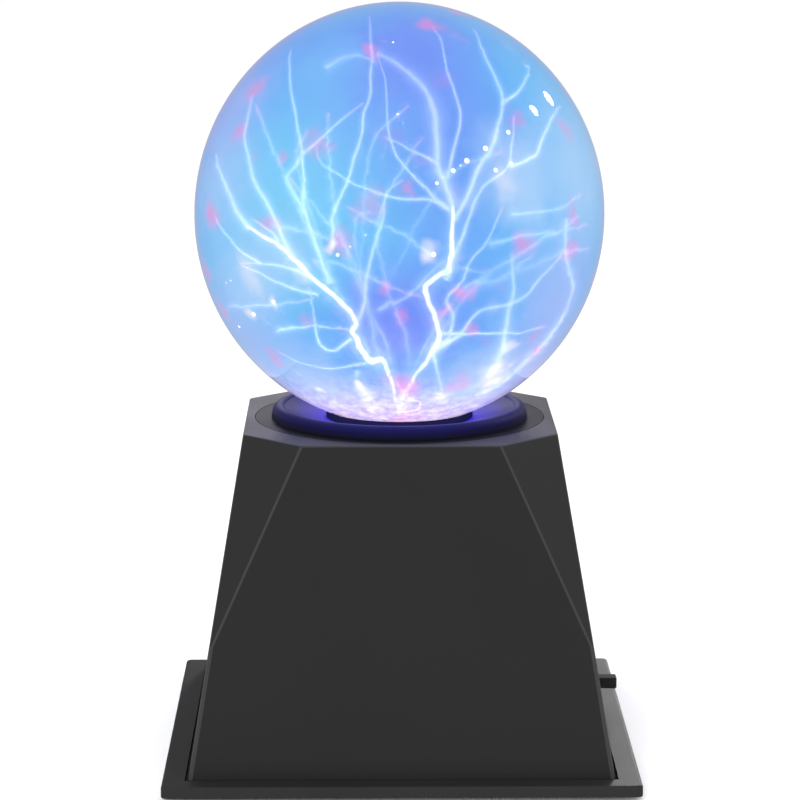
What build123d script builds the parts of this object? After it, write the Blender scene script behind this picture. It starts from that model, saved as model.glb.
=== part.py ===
"""Plasma ball lamp: a gas-filled glass globe on a faceted plastic base with a high-voltage driver inside.

Millimetres, +Z up. The origin is on the surface that the lamp stands on, under the globe's axis.
The front of the lamp faces -Y, the power switch is on the +X side and the power socket on the +Y side.
"""

from build123d import *
import math
import os

# ---------------------------------------------------------------- driving dimensions

# Globe
GLOBE_RADIUS = 76.0
GLOBE_HALF_HEIGHT = 78.4
GLASS = 2.0
NECK_RADIUS = 15.0
NECK_LENGTH = 38.0  # below the top of the case
NECK_BLEND = 5.0
GLOBE_SINK = 2.4  # how far the globe's curve would reach below the top of the case

# Case
FOOT_LIFT = 2.0  # gap under the base plate
PLATE_WIDTH = 172.0
PLATE_THICK = 4.2
PLATE_FLOOR = 2.0
POCKET_GAP = 0.8
CASE_FOOT_HALF = 76.7  # half width where the case meets the plate's top face
CASE_TOP_HALF = 57.4
CASE_TOP_FLAT_HALF = 35.7  # half length of the top outline's four long sides
CASE_HEIGHT = 118.1  # from the plate's top face to the case's top face
FACET_APEX_SHARE = 0.37  # where the corner facets run out, as a share of that height
WALL = 2.5
TOP_WALL = 3.0

# Collar
FLANGE_RADIUS = 54.0
FLANGE_THICK = 1.5
COLLAR_RADIUS = 48.0
COLLAR_RIM_RADIUS = 45.3
COLLAR_RIM_HEIGHT = 4.5
COLLAR_HUB_RADIUS = 40.6
COLLAR_HUB_DEPTH = 5.5
COLLAR_HOLE_RADIUS = 17.4
COLLAR_SLEEVE_RADIUS = 22.0
COLLAR_SLEEVE_DEPTH = 11.0
DISH_INNER_RADIUS = 24.0
DISH_INNER_HEIGHT = -0.8
GASKET_RADII = (21.0, 27.5)
THROAT_HEIGHT = -1.9

# Switch
KNOB_HEIGHT = 4.2
KNOB_DEPTH = 5.3
KNOB_REACH = 9.0  # beyond the case wall
KNOB_Z = 16.8
SWITCH_Y = 9.5  # middle of the switch, behind the case's centre line
SWITCH_TRAVEL = 4.0  # each way from the middle position; the knob is built at the rear end

# Power socket, for a 5.5 mm plug with a 2.1 mm pin
JACK_Z = 21.0
JACK_BORE_RADIUS = 2.9
JACK_PIN_RADIUS = 1.05
JACK_SHANK_RADIUS = 1.4
JACK_BORE_DEPTH = 10.0

# Board
BOARD = (88.0, 64.0, 1.6)
BOARD_CENTRE = (-4.0, -8.0)
BOARD_POST = 8.0

# ---------------------------------------------------------------- places worked out from them

PLATE_BOTTOM = FOOT_LIFT
PLATE_TOP = PLATE_BOTTOM + PLATE_THICK
FLOOR_TOP = PLATE_BOTTOM + PLATE_FLOOR
CASE_TOP = PLATE_TOP + CASE_HEIGHT
GLOBE_CENTRE_Z = CASE_TOP - GLOBE_SINK + GLOBE_HALF_HEIGHT
NECK_END = CASE_TOP - NECK_LENGTH
WALL_SLOPE = (CASE_FOOT_HALF - CASE_TOP_HALF) / CASE_HEIGHT
BOARD_BOTTOM = FLOOR_TOP + BOARD_POST
BOARD_TOP = BOARD_BOTTOM + BOARD[2]
CLEAR = 0.05  # between a fastener's shank and the hole that it bites in


def wall_at(z):
    """Half width of the case's outer face at a height."""
    return CASE_FOOT_HALF - (z - PLATE_TOP) * WALL_SLOPE


# ---------------------------------------------------------------- shape helpers


def block(x, y, z):
    """A box between the limits given as (low, high) pairs."""
    size = [pair[1] - pair[0] for pair in (x, y, z)]
    return Pos(sum(x) / 2, sum(y) / 2, sum(z) / 2) * Box(*size)


def centred_block(centre, size):
    """A box by its centre and its size."""
    return Pos(*centre) * Box(*size)


def rod(start, end, radius):
    """A round bar from one point to another."""
    start, end = Vector(*start), Vector(*end)
    along = end - start
    plane = Plane(origin=start, z_dir=along)
    return plane * Cylinder(radius, along.length, align=(Align.CENTER, Align.CENTER, Align.MIN))


def tube(start, end, outer, inner):
    """A round tube from one point to another."""
    return rod(start, end, outer) - rod(start, end, inner)


def turned(points):
    """A solid turned about the Z axis from an outline of (radius, height) points."""
    outline = Polyline(*[(r, 0, z) for r, z in points], close=True)
    return revolve(make_face(outline), Axis.Z, 360)


def hexagon_bar(start, end, across_flats, bore):
    """A hexagonal nut or spacer from one point to another, with a round bore."""
    start, end = Vector(*start), Vector(*end)
    along = end - start
    plane = Plane(origin=start, z_dir=along)
    outline = RegularPolygon(across_flats / 2, 6, major_radius=False) - Circle(bore)
    return plane * extrude(outline, along.length)


def pan_screw(tip, direction, length, shank, head_radius, head_height):
    """A screw whose shank ends at tip and points along direction, with a crossed recess in its head."""
    unit = Vector(*direction).normalized()
    tip = Vector(*tip)
    seat = tip - unit * length
    crown = seat - unit * head_height
    screw = rod(seat, tip, shank) + rod(crown, seat, head_radius)
    slot_depth = head_height * 0.45
    plane = Plane(origin=crown, z_dir=unit)
    arm = head_radius * 1.1
    cross = Box(arm, arm * 0.22, slot_depth * 2) + Box(arm * 0.22, arm, slot_depth * 2)
    return screw - plane * cross


def wire(points, radius):
    """A round lead along straight runs joined by arcs as large as their runs allow."""
    points = [Vector(*p) for p in points]
    radii = []
    for before, corner, after in zip(points, points[1:], points[2:]):
        run = min((corner - before).length, (after - corner).length)
        turn = math.radians((corner - before).get_angle(after - corner))
        radii.append(0.45 * run / math.tan(turn / 2))
    path = FilletPolyline(*points, radius=radii)
    start = Plane(origin=points[0], z_dir=points[1] - points[0])
    return sweep(start * Circle(radius), path=path), radii, path.length


# ---------------------------------------------------------------- glass globe and electrode


def globe_outline(radius, half_height, neck, neck_low, blend):
    """Half section of a globe with a neck: an ellipse and a neck joined by a rounded throat."""
    bulb = Pos(0, GLOBE_CENTRE_Z) * Ellipse(radius, half_height)
    throat_top = GLOBE_CENTRE_Z - half_height * 0.5
    stem = Pos(0, (throat_top + neck_low) / 2) * Rectangle(2 * neck, throat_top - neck_low)
    whole = bulb + stem
    corners = [v for v in whole.vertices() if abs(abs(v.X) - neck) < 0.01 and v.Y > neck_low + 1]
    return fillet(corners, blend)


def right_half_plane():
    """Rectangle that keeps one side of a section before it is turned about the axis."""
    return Pos(GLOBE_RADIUS, GLOBE_CENTRE_Z) * Rectangle(2 * GLOBE_RADIUS, 4 * GLOBE_HALF_HEIGHT)


def make_globe():
    outer = globe_outline(GLOBE_RADIUS, GLOBE_HALF_HEIGHT, NECK_RADIUS, NECK_END, NECK_BLEND)
    inner = globe_outline(
        GLOBE_RADIUS - GLASS,
        GLOBE_HALF_HEIGHT - GLASS,
        NECK_RADIUS - GLASS,
        NECK_END - 1,
        NECK_BLEND + GLASS,
    )
    return revolve(Plane.XZ * ((outer - inner) & right_half_plane()), Axis.Z, 360)


STEM_RADIUS = 5.0
STEM_BORE = 3.6
STEM_TOP = CASE_TOP + 2.0
FLARE_THICK = 2.0


def make_stem():
    """Glass seal at the neck's end with a closed tube that carries the electrode up to the throat."""
    body = turned(
        [
            (STEM_BORE, NECK_END - FLARE_THICK),
            (NECK_RADIUS, NECK_END - FLARE_THICK),
            (NECK_RADIUS, NECK_END),
            (STEM_RADIUS + 3, NECK_END),
            (STEM_RADIUS, NECK_END + 4),
            (STEM_RADIUS, STEM_TOP - STEM_RADIUS),
            (STEM_BORE, STEM_TOP - STEM_RADIUS),
        ]
    )
    dome_centre = Pos(0, 0, STEM_TOP - STEM_RADIUS)
    upper = block((-9, 9), (-9, 9), (STEM_TOP - STEM_RADIUS, STEM_TOP + 1))
    dome = (dome_centre * Sphere(STEM_RADIUS) - dome_centre * Sphere(STEM_BORE)) & upper
    return body + dome


def make_electrode_core():
    """Conductive filling of the closed tube."""
    low, high = NECK_END + 2, STEM_TOP - STEM_RADIUS
    radius = STEM_BORE - 0.1
    cap = Pos(0, 0, high) * Sphere(radius) & block((-5, 5), (-5, 5), (high, high + 6))
    return rod((0, 0, low), (0, 0, high), radius) + cap


def make_electrode_contact():
    """Brass plug with a head that the boot presses up into the filling."""
    head = rod((0, 0, NECK_END - 4.5), (0, 0, NECK_END - 2.5), 4.5)
    return head + rod((0, 0, NECK_END - 2.5), (0, 0, NECK_END + 1.8), 2.4)


BOOT_RADIUS = 18.0


def make_neck_boot():
    """Soft insulating cup over the end of the neck, with a side gland for the lead."""
    low, high = NECK_END - 11, NECK_END + 12
    cup = rod((0, 0, low), (0, 0, high), BOOT_RADIUS)
    cup -= rod((0, 0, NECK_END - FLARE_THICK - 0.1), (0, 0, high + 1), NECK_RADIUS + 0.15)
    cup -= rod((0, 0, NECK_END - 4.6), (0, 0, NECK_END), 4.7)
    cup += rod((0, 0, low - 6), (0, 0, low), 4.5)
    return cup - rod((0, 0, low - 7), (0, 0, NECK_END - 4), HV_RADIUS + 0.05)


# ---------------------------------------------------------------- collar


def make_collar():
    """Ring that the globe sits in: a flush flange, a raised rim and a dish sloping to the neck hole."""
    top = CASE_TOP
    line = Polyline(
        (COLLAR_RIM_RADIUS - 2.3, 0, top + COLLAR_RIM_HEIGHT - 0.5),
        (DISH_INNER_RADIUS, 0, top + DISH_INNER_HEIGHT),
        (COLLAR_HOLE_RADIUS, 0, top + THROAT_HEIGHT),
        (COLLAR_HOLE_RADIUS, 0, top - COLLAR_SLEEVE_DEPTH),
        (COLLAR_SLEEVE_RADIUS, 0, top - COLLAR_SLEEVE_DEPTH),
        (COLLAR_SLEEVE_RADIUS, 0, top - COLLAR_HUB_DEPTH),
        (COLLAR_HUB_RADIUS, 0, top - COLLAR_HUB_DEPTH),
        (COLLAR_HUB_RADIUS, 0, top - FLANGE_THICK),
        (FLANGE_RADIUS, 0, top - FLANGE_THICK),
        (FLANGE_RADIUS, 0, top),
        (COLLAR_RADIUS, 0, top),
        (COLLAR_RADIUS - 0.3, 0, top + COLLAR_RIM_HEIGHT * 0.4),
    )
    crown = ThreePointArc(
        (COLLAR_RADIUS - 0.3, 0, top + COLLAR_RIM_HEIGHT * 0.4),
        (COLLAR_RIM_RADIUS + 1.3, 0, top + COLLAR_RIM_HEIGHT - 0.35),
        (COLLAR_RIM_RADIUS - 2.3, 0, top + COLLAR_RIM_HEIGHT - 0.5),
    )
    collar = revolve(make_face([*line.edges(), *crown.edges()]), Axis.Z, 360)
    for x, y in collar_screw_places():
        collar -= rod((x, y, top - FLANGE_THICK), (x, y, COLLAR_SCREW_TIP + 0.3), 1.25 + CLEAR)
    return collar


COLLAR_SCREW_RING = 45.2
COLLAR_SCREW_TIP = CASE_TOP + 2.5
COLLAR_SCREW_LENGTH = COLLAR_SCREW_TIP - (CASE_TOP - TOP_WALL)


def collar_screw_places():
    return [
        (COLLAR_SCREW_RING * math.cos(a), COLLAR_SCREW_RING * math.sin(a))
        for a in (math.radians(45 + 90 * i) for i in range(4))
    ]


def make_collar_screws():
    screws = [
        pan_screw((x, y, COLLAR_SCREW_TIP), (0, 0, 1), COLLAR_SCREW_LENGTH, 1.25, 2.4, 1.8)
        for x, y in collar_screw_places()
    ]
    return Compound(children=screws)


def make_globe_gasket():
    """Foam ring that fills the wedge between the inner end of the dish and the globe."""
    inner, outer = GASKET_RADII
    throat_rise = (DISH_INNER_HEIGHT - THROAT_HEIGHT) / (DISH_INNER_RADIUS - COLLAR_HOLE_RADIUS)
    dish_rise = (COLLAR_RIM_HEIGHT - 0.5 - DISH_INNER_HEIGHT) / (COLLAR_RIM_RADIUS - 2.3 - DISH_INNER_RADIUS)
    base = CASE_TOP + DISH_INNER_HEIGHT + 0.02
    ring = turned(
        [
            (inner, base + (inner - DISH_INNER_RADIUS) * throat_rise),
            (DISH_INNER_RADIUS, base),
            (outer, base + (outer - DISH_INNER_RADIUS) * dish_rise),
            (outer, base + 12),
            (inner, base + 12),
        ]
    )
    gap = 0.03
    bulb = Pos(0, GLOBE_CENTRE_Z) * Ellipse(GLOBE_RADIUS + gap, GLOBE_HALF_HEIGHT + gap)
    return ring - revolve(Plane.XZ * (bulb & right_half_plane()), Axis.Z, 360)


def make_neck_grommet():
    """Rubber ring between the neck and the collar's hole."""
    high, low = CASE_TOP - 6.0, CASE_TOP - COLLAR_SLEEVE_DEPTH
    return tube((0, 0, low), (0, 0, high), COLLAR_HOLE_RADIUS - 0.05, NECK_RADIUS + 0.05)


def make_neck_retainer():
    """Ring under the collar that grips the neck and stops the globe from lifting out."""
    high = CASE_TOP - COLLAR_SLEEVE_DEPTH
    ring = tube((0, 0, high - 5), (0, 0, high), 23.0, NECK_RADIUS + 0.05)
    slit = block((NECK_RADIUS - 1, 24), (-0.6, 0.6), (high - 6, high + 1))
    return ring - slit


# ---------------------------------------------------------------- case


def facet_apex():
    share = FACET_APEX_SHARE
    half = CASE_FOOT_HALF + (CASE_TOP_HALF - CASE_FOOT_HALF) * share
    return half, PLATE_TOP + CASE_HEIGHT * share


def side_planes():
    """The four sloping walls and the four corner facets, as planes that face outward."""
    half, apex_z = facet_apex()
    first = Vector(CASE_TOP_HALF, CASE_TOP_FLAT_HALF, CASE_TOP)
    second = Vector(CASE_TOP_FLAT_HALF, CASE_TOP_HALF, CASE_TOP)
    apex = Vector(half, half, apex_z)
    facet_normal = (apex - first).cross(second - first)
    wall_normal = Vector(1, 0, WALL_SLOPE)
    planes = []
    for turn in (0, 90, 180, 270):
        corner = first.rotate(Axis.Z, turn)
        for normal in (wall_normal, facet_normal):
            planes.append(Plane(origin=corner, z_dir=normal.rotate(Axis.Z, turn)))
    return planes


def faceted_hull(inset, low, high):
    """The case's outline between two heights, moved inward by inset."""
    hull = block((-100, 100), (-100, 100), (low, high))
    for plane in side_planes():
        hull = split(hull, bisect_by=plane.offset(-inset), keep=Keep.BOTTOM)
    return hull


PLATE_SCREWS = [(x, y) for x in (-56.0, 56.0) for y in (-64.0, 64.0)]
PLATE_BOSS_TOP = FLOOR_TOP + 4.0
PLATE_SCREW_SEAT = PLATE_BOTTOM + 3.4
PLATE_SCREW_TIP = PLATE_BOSS_TOP + 11
CASE_BOSS_HEIGHT = 18.0
SWITCH_SCREW_Y = 12.5
FLANGE_INNER_X = 67.6
FLANGE_SHEET = 1.0
JACK_PAD_RADIUS = 7.6
JACK_PAD_FACE = wall_at(JACK_Z) + 1.5
JACK_THREAD_RADIUS = 4.0


def case_boss(x, y):
    """Screw post inside the case, with a rib to the nearest wall."""
    top = PLATE_BOSS_TOP + CASE_BOSS_HEIGHT
    post = rod((x, y, PLATE_BOSS_TOP), (x, y, top), 4.0)
    reach = (y, CASE_FOOT_HALF) if y > 0 else (-CASE_FOOT_HALF, y)
    rib = block((x - 1, x + 1), reach, (PLATE_BOSS_TOP, top)) & faceted_hull(WALL / 2, FLOOR_TOP, CASE_TOP)
    return post + rib


def make_body_shell():
    """Moulded case: a square pyramid with corner facets, open below."""
    hull = faceted_hull(0, FLOOR_TOP, CASE_TOP)
    slanted = [e for e in hull.edges() if abs((e @ 0).Z - (e @ 1).Z) > 1]
    hull = fillet(slanted, 1.8)
    hull = fillet(hull.faces().sort_by(Axis.Z)[-1].edges(), 0.7)
    shell = hull - faceted_hull(WALL, FLOOR_TOP - 1, CASE_TOP - TOP_WALL)
    shell -= rod((0, 0, CASE_TOP - FLANGE_THICK), (0, 0, CASE_TOP + 1), FLANGE_RADIUS + 0.25)
    shell -= rod((0, 0, CASE_TOP - 10), (0, 0, CASE_TOP), COLLAR_HUB_RADIUS + 0.2)
    for x, y in collar_screw_places():
        shell -= rod((x, y, CASE_TOP - 10), (x, y, CASE_TOP), 1.4)
    for x, y in PLATE_SCREWS:
        shell += case_boss(x, y)
        shell -= rod((x, y, PLATE_BOSS_TOP - 1), (x, y, PLATE_SCREW_TIP + 1), 1.5 + CLEAR)
    shell += jack_pad()
    shell -= rod((0, 50, JACK_Z), (0, 90, JACK_Z), JACK_THREAD_RADIUS + 0.1)
    inner = FLANGE_INNER_X + FLANGE_SHEET
    for y in (SWITCH_Y - SWITCH_SCREW_Y, SWITCH_Y + SWITCH_SCREW_Y):
        pad = rod((inner, y, KNOB_Z), (wall_at(KNOB_Z), y, KNOB_Z), 2.8)
        shell += pad & faceted_hull(WALL / 2, FLOOR_TOP, CASE_TOP)
        shell -= rod((inner - 1, y, KNOB_Z), (inner + 3.2, y, KNOB_Z), 1.0 + CLEAR)
    slot = (20, KNOB_DEPTH + 2 * SWITCH_TRAVEL + 0.8, KNOB_HEIGHT + 0.8)
    return shell - centred_block((wall_at(KNOB_Z), SWITCH_Y, KNOB_Z), slot)


def jack_pad():
    """Raised round pad with an upright face, around the power socket."""
    pad = rod((0, wall_at(JACK_Z) - WALL - 1.5, JACK_Z), (0, JACK_PAD_FACE, JACK_Z), JACK_PAD_RADIUS)
    return fillet(pad.faces().sort_by(Axis.Y)[-1].edges(), 0.4)


BOARD_SCREWS = [
    (BOARD_CENTRE[0] + sx * (BOARD[0] / 2 - 5), BOARD_CENTRE[1] + sy * (BOARD[1] / 2 - 5))
    for sx in (-1, 1)
    for sy in (-1, 1)
]
FOOT_PLACES = {
    "foot_front_left": (-71.0, -71.0),
    "foot_front_right": (71.0, -71.0),
    "foot_rear_left": (-71.0, 71.0),
    "foot_rear_right": (71.0, 71.0),
}
FOOT_RADIUS = 7.0
FOOT_RECESS = 0.8


def vent_slots():
    """Two banks of narrow round-ended slots through the plate's floor."""
    slots = None
    for bank_x in (-30.0, 22.0):
        for row in range(6):
            outline = Pos(bank_x, -28.0 + row * 8.0) * SlotOverall(30.0, 2.4)
            slot = Pos(0, 0, PLATE_BOTTOM - 1) * extrude(outline, PLATE_FLOOR + 2)
            slots = slot if slots is None else slots + slot
    return slots


def make_bottom_plate():
    """Base plate with a pocket for the case's foot, screw and board posts, foot recesses and vents."""
    half = PLATE_WIDTH / 2
    plate = block((-half, half), (-half, half), (PLATE_BOTTOM, PLATE_TOP))
    plate = fillet(plate.edges().filter_by(Axis.Z), 2.2)
    plate = fillet(plate.faces().sort_by(Axis.Z)[-1].edges(), 0.9)
    plate = fillet(plate.faces().sort_by(Axis.Z)[0].edges(), 0.4)
    pocket = CASE_FOOT_HALF + WALL_SLOPE * (PLATE_TOP - FLOOR_TOP) + POCKET_GAP
    plate -= block((-pocket, pocket), (-pocket, pocket), (FLOOR_TOP, PLATE_TOP + 1))
    for x, y in PLATE_SCREWS:
        plate += rod((x, y, FLOOR_TOP), (x, y, PLATE_BOSS_TOP), 5.6)
        plate -= rod((x, y, PLATE_BOTTOM - 1), (x, y, PLATE_SCREW_SEAT), 3.3)
        plate -= rod((x, y, PLATE_BOTTOM), (x, y, PLATE_BOSS_TOP + 1), 1.7)
    for x, y in BOARD_SCREWS:
        plate += rod((x, y, FLOOR_TOP), (x, y, BOARD_BOTTOM), 3.2)
        plate -= rod((x, y, FLOOR_TOP + 0.8), (x, y, BOARD_BOTTOM + 1), 1.25 + CLEAR)
    for x, y in FOOT_PLACES.values():
        plate -= rod((x, y, PLATE_BOTTOM - 1), (x, y, PLATE_BOTTOM + FOOT_RECESS), FOOT_RADIUS + 0.2)
    return plate - vent_slots()


def make_plate_screws():
    length = PLATE_SCREW_TIP - PLATE_SCREW_SEAT
    screws = [
        pan_screw((x, y, PLATE_SCREW_TIP), (0, 0, 1), length, 1.5, 2.9, 2.0) for x, y in PLATE_SCREWS
    ]
    return Compound(children=screws)


def make_foot(x, y):
    """Stick-on rubber foot with a rounded lower edge."""
    pad = rod((x, y, 0), (x, y, PLATE_BOTTOM + FOOT_RECESS), FOOT_RADIUS)
    return fillet(pad.faces().sort_by(Axis.Z)[0].edges(), 0.6)


# ---------------------------------------------------------------- power switch


def switch_point(back, y=0.0, z=0.0):
    """A point measured from the flange's inner face (inward), the switch's middle and the knob's height."""
    return (FLANGE_INNER_X - back, SWITCH_Y + y, KNOB_Z + z)


def make_switch_frame():
    """Bent steel frame: an upright flange with a slot, and four cheeks that hold the base."""
    frame = centred_block(switch_point(-FLANGE_SHEET / 2), (FLANGE_SHEET, 32, 8.4))
    for side in (-1, 1):
        frame += centred_block(switch_point(3.4, 0, side * 3.9), (6.8, 20, 0.6))
        frame += centred_block(switch_point(3.4, side * 10.3), (6.8, 0.6, 8.4))
        hole_y = side * SWITCH_SCREW_Y
        frame -= rod(switch_point(1, hole_y), switch_point(-2, hole_y), 1.15)
    slot_length = KNOB_DEPTH + 2 * SWITCH_TRAVEL + 0.6
    return frame - centred_block(switch_point(-FLANGE_SHEET / 2), (2, slot_length, KNOB_HEIGHT + 0.5))


def make_switch_base():
    """Phenolic base that closes the frame and carries the terminals."""
    base = centred_block(switch_point(6.1), (1.4, 19.9, 7.1))
    for y in TERMINALS:
        base -= centred_block(switch_point(6.1, y), (2, 1.3, 2.3))
    return base


TERMINALS = [-1.5 * SWITCH_TRAVEL, -0.5 * SWITCH_TRAVEL, 0.5 * SWITCH_TRAVEL, 1.5 * SWITCH_TRAVEL]


def make_switch_terminals():
    tags = [centred_block(switch_point(7.9, y), (5.0, 1.1, 2.1)) for y in TERMINALS]
    return Compound(children=tags)


def make_switch_actuator():
    """Sliding block inside the frame and the knob that reaches out through the case's slot."""
    reach = wall_at(KNOB_Z) + KNOB_REACH - FLANGE_INNER_X
    knob = centred_block(
        switch_point(0.2 - (reach + 0.2) / 2, SWITCH_TRAVEL), (reach + 0.2, KNOB_DEPTH, KNOB_HEIGHT)
    )
    knob = fillet(knob.faces().sort_by(Axis.X)[-1].edges(), 0.6)
    return knob + centred_block(switch_point(1.7, SWITCH_TRAVEL), (3.0, 10.0, 6.4))


def make_switch_wiper():
    """Brass bridge that joins two neighbouring terminals."""
    strip = centred_block(switch_point(3.5, SWITCH_TRAVEL), (0.6, 7.6, 3.4))
    for side in (-1, 1):
        y = SWITCH_TRAVEL + side * SWITCH_TRAVEL / 2
        strip += centred_block(switch_point(4.55, y), (1.5, 1.2, 2.0))
    return strip


def make_switch_screws():
    length = FLANGE_SHEET + 3.0
    screws = [
        pan_screw(switch_point(-length, y), (1, 0, 0), length, 1.0, 1.8, 1.3)
        for y in (-SWITCH_SCREW_Y, SWITCH_SCREW_Y)
    ]
    return Compound(children=screws)


# ---------------------------------------------------------------- power socket

JACK_FLANGE_THICK = 1.4
JACK_MOUTH = JACK_PAD_FACE + JACK_FLANGE_THICK
JACK_BACK = JACK_MOUTH - JACK_BORE_DEPTH - 2.5
JACK_NUT_THICK = 2.2


def jack_point(y, x=0.0, z=0.0):
    return (x, y, JACK_Z + z)


def make_jack_housing():
    """Round panel socket with a front flange and a blind bore for the plug."""
    body = rod(jack_point(JACK_BACK), jack_point(JACK_PAD_FACE), JACK_THREAD_RADIUS)
    flange = rod(jack_point(JACK_PAD_FACE), jack_point(JACK_MOUTH), 5.6)
    flange = fillet(flange.faces().sort_by(Axis.Y)[-1].edges(), 0.4)
    body += flange
    body -= rod(jack_point(JACK_MOUTH - JACK_BORE_DEPTH), jack_point(JACK_MOUTH + 1), JACK_BORE_RADIUS)
    body -= rod(jack_point(JACK_BACK - 1), jack_point(JACK_MOUTH), JACK_SHANK_RADIUS)
    return body - jack_contact(0.05)


def make_jack_pin():
    """Centre pin on a thicker shank, which passes through the socket's back and is soldered behind it."""
    pin = rod(jack_point(JACK_BACK), jack_point(JACK_MOUTH - 1.0), JACK_PIN_RADIUS)
    pin = fillet(pin.faces().sort_by(Axis.Y)[-1].edges(), 0.3)
    return pin + rod(jack_point(JACK_BACK - 5), jack_point(JACK_MOUTH - JACK_BORE_DEPTH), JACK_SHANK_RADIUS)


def jack_contact(grow):
    """Strip along the bore's side that the plug's sleeve touches, grown by a clearance."""
    low, high = JACK_BACK - 5, JACK_MOUTH - 3
    return block(
        (-0.9 - grow, 0.9 + grow),
        (low, high),
        (JACK_Z - 3.4 - grow, JACK_Z - 2.8 + grow),
    )


def make_jack_nut():
    """Hexagonal nut that clamps the socket to the case from inside."""
    seat = wall_at(JACK_Z) - WALL - 1.5
    return hexagon_bar(jack_point(seat - JACK_NUT_THICK), jack_point(seat), 10.0, JACK_THREAD_RADIUS + CLEAR)


# ---------------------------------------------------------------- driver board


def make_circuit_board():
    x, y = BOARD_CENTRE
    board = centred_block((x, y, BOARD_BOTTOM + BOARD[2] / 2), BOARD)
    board = fillet(board.edges().filter_by(Axis.Z), 1.5)
    for hole_x, hole_y in BOARD_SCREWS:
        board -= rod((hole_x, hole_y, BOARD_BOTTOM - 1), (hole_x, hole_y, BOARD_TOP + 1), 1.5)
    return board


def make_board_screws():
    tip = BOARD_TOP - 7.0
    screws = [pan_screw((x, y, tip), (0, 0, -1), 7.0, 1.25, 2.4, 1.8) for x, y in BOARD_SCREWS]
    return Compound(children=screws)


CORE_LEG = 7.0
CORE_X = (-36.0, -12.0)
CORE_Y = -8.0
STRAP_X = -26.2
CORE_LOW = BOARD_TOP + 2.0
CORE_HIGH = CORE_LOW + 34.0
CORE_MIDDLE = (CORE_LOW + CORE_HIGH) / 2


def core_half(low, high, window_z):
    """U-shaped ferrite: two legs and a yoke, with its window between the given heights."""
    half = CORE_LEG / 2
    depth = (CORE_Y - half, CORE_Y + half)
    whole = block((CORE_X[0] - half, CORE_X[1] + half), depth, (low, high))
    return whole - block((CORE_X[0] + half, CORE_X[1] - half), (depth[0] - 1, depth[1] + 1), window_z)


def make_core_lower():
    return core_half(CORE_LOW, CORE_MIDDLE, (CORE_LOW + CORE_LEG, CORE_MIDDLE + 1))


def make_core_upper():
    return core_half(CORE_MIDDLE, CORE_HIGH, (CORE_MIDDLE - 1, CORE_HIGH - CORE_LEG))


SECONDARY_RADIUS = 11.0


def coil(x, radius, cheek):
    """Winding with two cheeks around one leg of the core."""
    low, high = CORE_LOW + CORE_LEG + 0.2, CORE_HIGH - CORE_LEG - 0.2
    body = rod((x, CORE_Y, low), (x, CORE_Y, high), radius)
    for z in (low, high - 1.2):
        body += rod((x, CORE_Y, z), (x, CORE_Y, z + 1.2), cheek)
    hole = CORE_LEG + 0.4
    return body - centred_block((x, CORE_Y, CORE_MIDDLE), (hole, hole, 40))


def make_transformer_base():
    """Plastic foot that lifts the core off the board."""
    length = CORE_X[1] - CORE_X[0] + CORE_LEG + 4
    centre_x = sum(CORE_X) / 2
    return centred_block((centre_x, CORE_Y, BOARD_TOP + 1.0), (length, CORE_LEG + 6, 2.0))


def make_core_strap():
    """Steel strap over both ferrite halves, between the coils, with feet turned out on the base."""
    width = (STRAP_X - 1.7, STRAP_X + 1.7)
    half = CORE_LEG / 2 + 0.1
    strap = block(width, (CORE_Y - half - 0.6, CORE_Y + half + 0.6), (CORE_HIGH, CORE_HIGH + 0.6))
    for side in (-1, 1):
        near, far = CORE_Y + side * half, CORE_Y + side * (half + 0.6)
        toe = CORE_Y + side * (half + 2.8)
        strap += block(width, (min(near, far), max(near, far)), (CORE_LOW, CORE_HIGH + 0.6))
        strap += block(width, (min(near, toe), max(near, toe)), (CORE_LOW, CORE_LOW + 0.6))
    return strap


SINK_X = (14.0, 36.0)
SINK_Y = -22.0


def make_heat_sink():
    """Finned aluminium plate that stands on the board."""
    sink = block(SINK_X, (SINK_Y - 1.5, SINK_Y + 1.5), (BOARD_TOP, BOARD_TOP + 28))
    step = (SINK_X[1] - SINK_X[0] - 1.4) / 5
    for i in range(6):
        x = SINK_X[0] + i * step
        sink += block((x, x + 1.4), (SINK_Y - 9, SINK_Y - 1.5), (BOARD_TOP, BOARD_TOP + 28))
    centre = sum(SINK_X) / 2
    return sink - rod((centre, SINK_Y - 3, BOARD_TOP + 19), (centre, SINK_Y + 3, BOARD_TOP + 19), 1.5 + CLEAR)


def make_transistor():
    """Power transistor: metal tab, moulded body and three legs."""
    x = sum(SINK_X) / 2
    face = SINK_Y + 1.5
    tab = block((x - 5, x + 5), (face, face + 1.3), (BOARD_TOP + 6, BOARD_TOP + 21.5))
    tab -= rod((x, face - 1, BOARD_TOP + 19), (x, face + 3, BOARD_TOP + 19), 1.7)
    body = block((x - 5, x + 5), (face + 1.3, face + 4.5), (BOARD_TOP + 6, BOARD_TOP + 15))
    device = tab + body
    for leg_x in (x - 2.54, x, x + 2.54):
        device += block((leg_x - 0.4, leg_x + 0.4), (face + 2.0, face + 2.6), (BOARD_TOP, BOARD_TOP + 6))
    return device


def make_transistor_screw():
    x = sum(SINK_X) / 2
    z = BOARD_TOP + 19
    seat = SINK_Y + 1.5 + 1.3
    return pan_screw((x, seat - 5.5, z), (0, -1, 0), 5.5, 1.5, 2.8, 2.0)


def can_capacitor(x, y, radius, height):
    """Electrolytic can with a rolled groove near its foot."""
    can = rod((x, y, BOARD_TOP), (x, y, BOARD_TOP + height), radius)
    can = fillet(can.faces().sort_by(Axis.Z)[-1].edges(), 0.6)
    groove = tube((x, y, BOARD_TOP + 1.6), (x, y, BOARD_TOP + 2.6), radius + 1, radius - 0.5)
    return can - groove


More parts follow.
